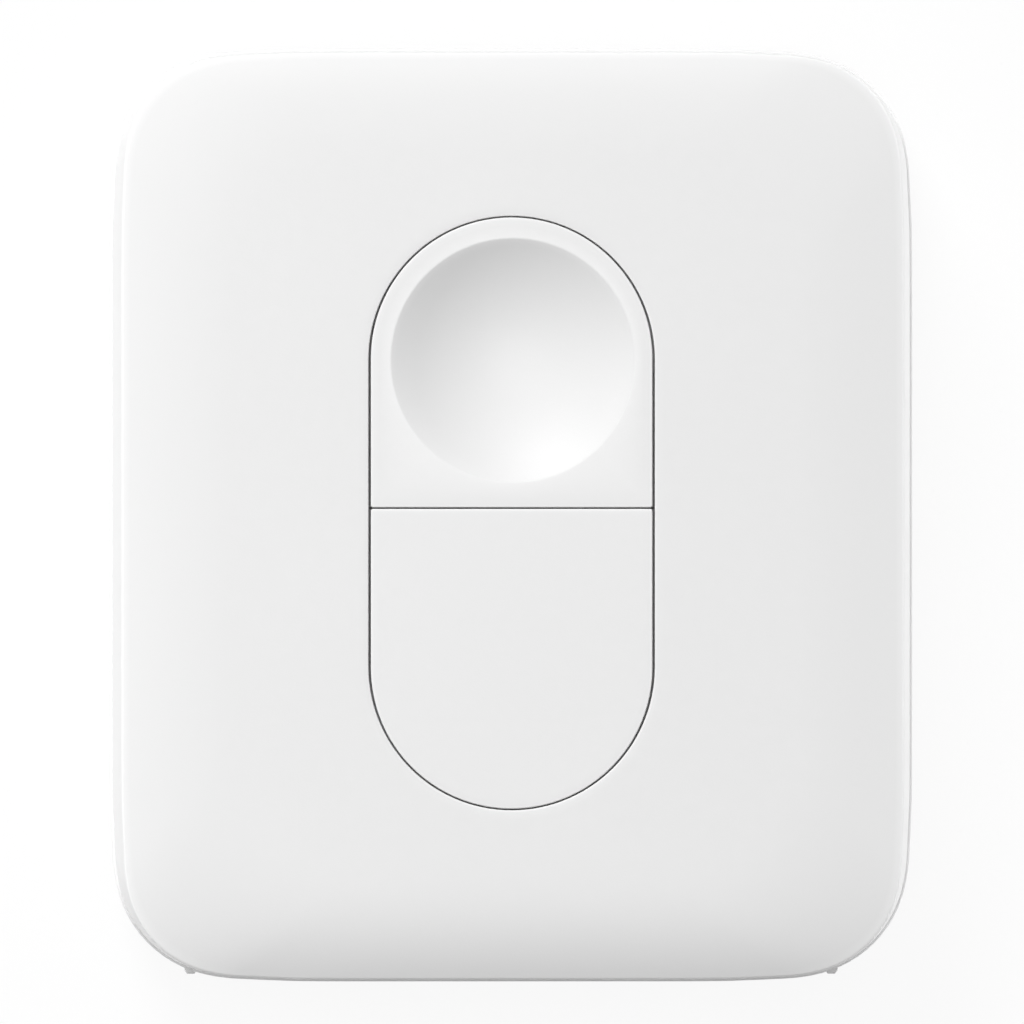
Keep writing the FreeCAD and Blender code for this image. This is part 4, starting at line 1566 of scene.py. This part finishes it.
def refined(node, name, bevel):
    """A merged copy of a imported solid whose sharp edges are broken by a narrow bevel."""
    joined_gap = 0.002
    flat_angle, sharp_angle, smooth_angle = 1.5, 30.0, 20.0
    mesh = bmesh.new()
    mesh.from_mesh(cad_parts[node].data)
    bmesh.ops.remove_doubles(mesh, verts=mesh.verts, dist=joined_gap * MM)
    bmesh.ops.dissolve_limit(
        mesh, angle_limit=math.radians(flat_angle), verts=mesh.verts, edges=mesh.edges
    )
    layer = mesh.faces.layers.float.new("edge_wear_and_highlight")
    sharp = []
    for edge in mesh.edges:
        if len(edge.link_faces) == 2 and edge.calc_face_angle() > math.radians(sharp_angle):
            sharp.append(edge)
    made = bmesh.ops.bevel(
        mesh, geom=sharp, offset=bevel * MM, segments=2, profile=0.5, affect="EDGES", clamp_overlap=True
    )
    # the bevel's faces get edge wear and, on plastic, a painted highlight
    for face in made["faces"]:
        face[layer] = 1.0
    return finish_mesh(mesh, name, smooth_angle)


# %% Refine them
refinements = [
    ("battery_tray", "cell_tray", "housing", "tray_grey", 0.08),
    ("circuit_board", "circuit_plate", "housing", "board_green", 0.04),
    ("pairing_button", "pairing_pin_moulding", "pairing_pin", "housing_white", 0.08),
    ("positive_contact", "side_contact", "housing", "spring_steel", 0.03),
    ("negative_contact", "leaf_contact", "housing", "spring_steel", 0.03),
    ("radio_chip", "radio_package", "housing", "chip_black", 0.03),
    ("crystal", "crystal_package", "housing", "cell_steel", 0.03),
    ("chip_antenna", "antenna_block", "housing", "ceramic_tan", 0.03),
    ("status_led", "light_package", "housing", "led_clear", 0.03),
]
for switch, plunger_body in (("upper", "upper_key"), ("lower", "lower_key"), ("pairing", "pairing_pin")):
    name = switch + "_switch_"
    refinements.append((name + "base", name + "body", "housing", "switch_black", 0.04))
    refinements.append((name + "plate", name + "cover", "housing", "spring_steel", 0.03))
    refinements.append((name + "plunger", name + "pin", plunger_body, "switch_black", 0.05))
for node, name, body, finish, bevel in refinements:
    place(refined(node, name, bevel), body, finish, finishes[finish], node)

# %% [markdown]
# ## Floor, lamps and world
#
# The photograph has a pure white ground, so the floor is white by its own light for the
# camera and for reflections, and keeps a share of real diffuse shading for a faint shadow.
# It lies a hair under the object, so that the cover's foot and the floor don't share a plane.
#
# Five places give the light. The key light comes from the upper left at 42 degrees and shades
# the upper part of the dimple. It is two lamps, of which only the weaker one is mirrored, so
# that its gleam doesn't burn out the face in a low view. One lamp hangs overhead, a close one
# brightens the roll at the left, and a low one on each side lights the wall there. These three
# side lamps aren't mirrored either. A lamp's power is in watts and its sizes are in metres.

# %% Floor
floor_half = 1500.0
floor_height = -0.02
floor_glow = 0.9  # share of the floor's look that is its own light


def seen_rays(tree):
    """1 for rays from the camera, a mirror image or through glass, and 0 for diffuse light."""
    path = tree.nodes.new("ShaderNodeLightPath")
    seen = math_node(tree, "MAXIMUM", path.outputs["Is Camera Ray"], path.outputs["Is Glossy Ray"])
    return math_node(tree, "MAXIMUM", seen, path.outputs["Is Transmission Ray"])


def white_floor():
    material, tree, shader = new_material("floor_white")
    shader.inputs["Base Color"].default_value = (0.9, 0.9, 0.9, 1)
    shader.inputs["Roughness"].default_value = 0.9
    glow = tree.nodes.new("ShaderNodeEmission")
    glow.inputs["Strength"].default_value = 1.0
    mix = tree.nodes.new("ShaderNodeMixShader")
    tree.links.new(times(tree, seen_rays(tree), floor_glow), mix.inputs["Fac"])
    tree.links.new(shader.outputs[0], mix.inputs[1])
    tree.links.new(glow.outputs[0], mix.inputs[2])
    tree.links.new(mix.outputs[0], tree.nodes["Material Output"].inputs["Surface"])
    return material


def make_floor():
    mesh = bmesh.new()
    corners = [(-1, -1), (1, -1), (1, 1), (-1, 1)]
    mesh.faces.new(
        [mesh.verts.new((x * floor_half * MM, y * floor_half * MM, floor_height * MM)) for x, y in corners]
    )
    floor = to_object(mesh, "floor")
    floor.data.materials.append(white_floor())
    floor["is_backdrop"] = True
    print("floor is", 2 * floor_half, "mm wide")


make_floor()

# %% Lamps


def lamp(name, azimuth, elevation, distance, size, power, mirrored=True):
    """A square lamp that faces the object. Azimuth 0 is towards the upper edge, 90 to the right."""
    data = bpy.data.lights.new(name, "AREA")
    data.size = size
    data.energy = power
    lamp_object = linked(name, data)
    a = math.radians(azimuth)
    e = math.radians(elevation)
    lamp_object.location = (
        distance * math.cos(e) * math.sin(a),
        distance * math.cos(e) * math.cos(a),
        distance * math.sin(e),
    )
    lamp_object.rotation_euler = (math.pi / 2 - e, 0, math.pi - a)
    lamp_object.visible_camera = False
    lamp_object.visible_glossy = mirrored


lamp("key_lamp", -20, 42, 0.9, 0.35, 2.2)
lamp("soft_key_lamp", -20, 42, 0.92, 0.35, 3.43, mirrored=False)
lamp("over_lamp", 0, 90, 0.9, 0.35, 1.75)
lamp("left_lamp", -90, 35, 0.12, 0.08, 0.026, mirrored=False)
lamp("left_wall_lamp", -90, 4, 0.15, 0.02, 0.021, mirrored=False)
lamp("right_wall_lamp", 90, 4, 0.15, 0.02, 0.085, mirrored=False)
print("lamps:", len(bpy.data.lights))

# %% World
ambient = 0.2  # strength of the world for diffuse light; it is 1 where it is seen
world = bpy.data.worlds.new("studio")
bpy.context.scene.world = world
world.use_nodes = True
sky = world.node_tree.nodes["Background"]
level = plus(world.node_tree, times(world.node_tree, seen_rays(world.node_tree), 1 - ambient), ambient)
world.node_tree.links.new(level, sky.inputs["Strength"])
sky.inputs["Color"].default_value = (1, 1, 1, 1)
bpy.context.scene.view_settings.view_transform = "Standard"
print("ambient light:", ambient)

# %% Sizes and the end
low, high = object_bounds()
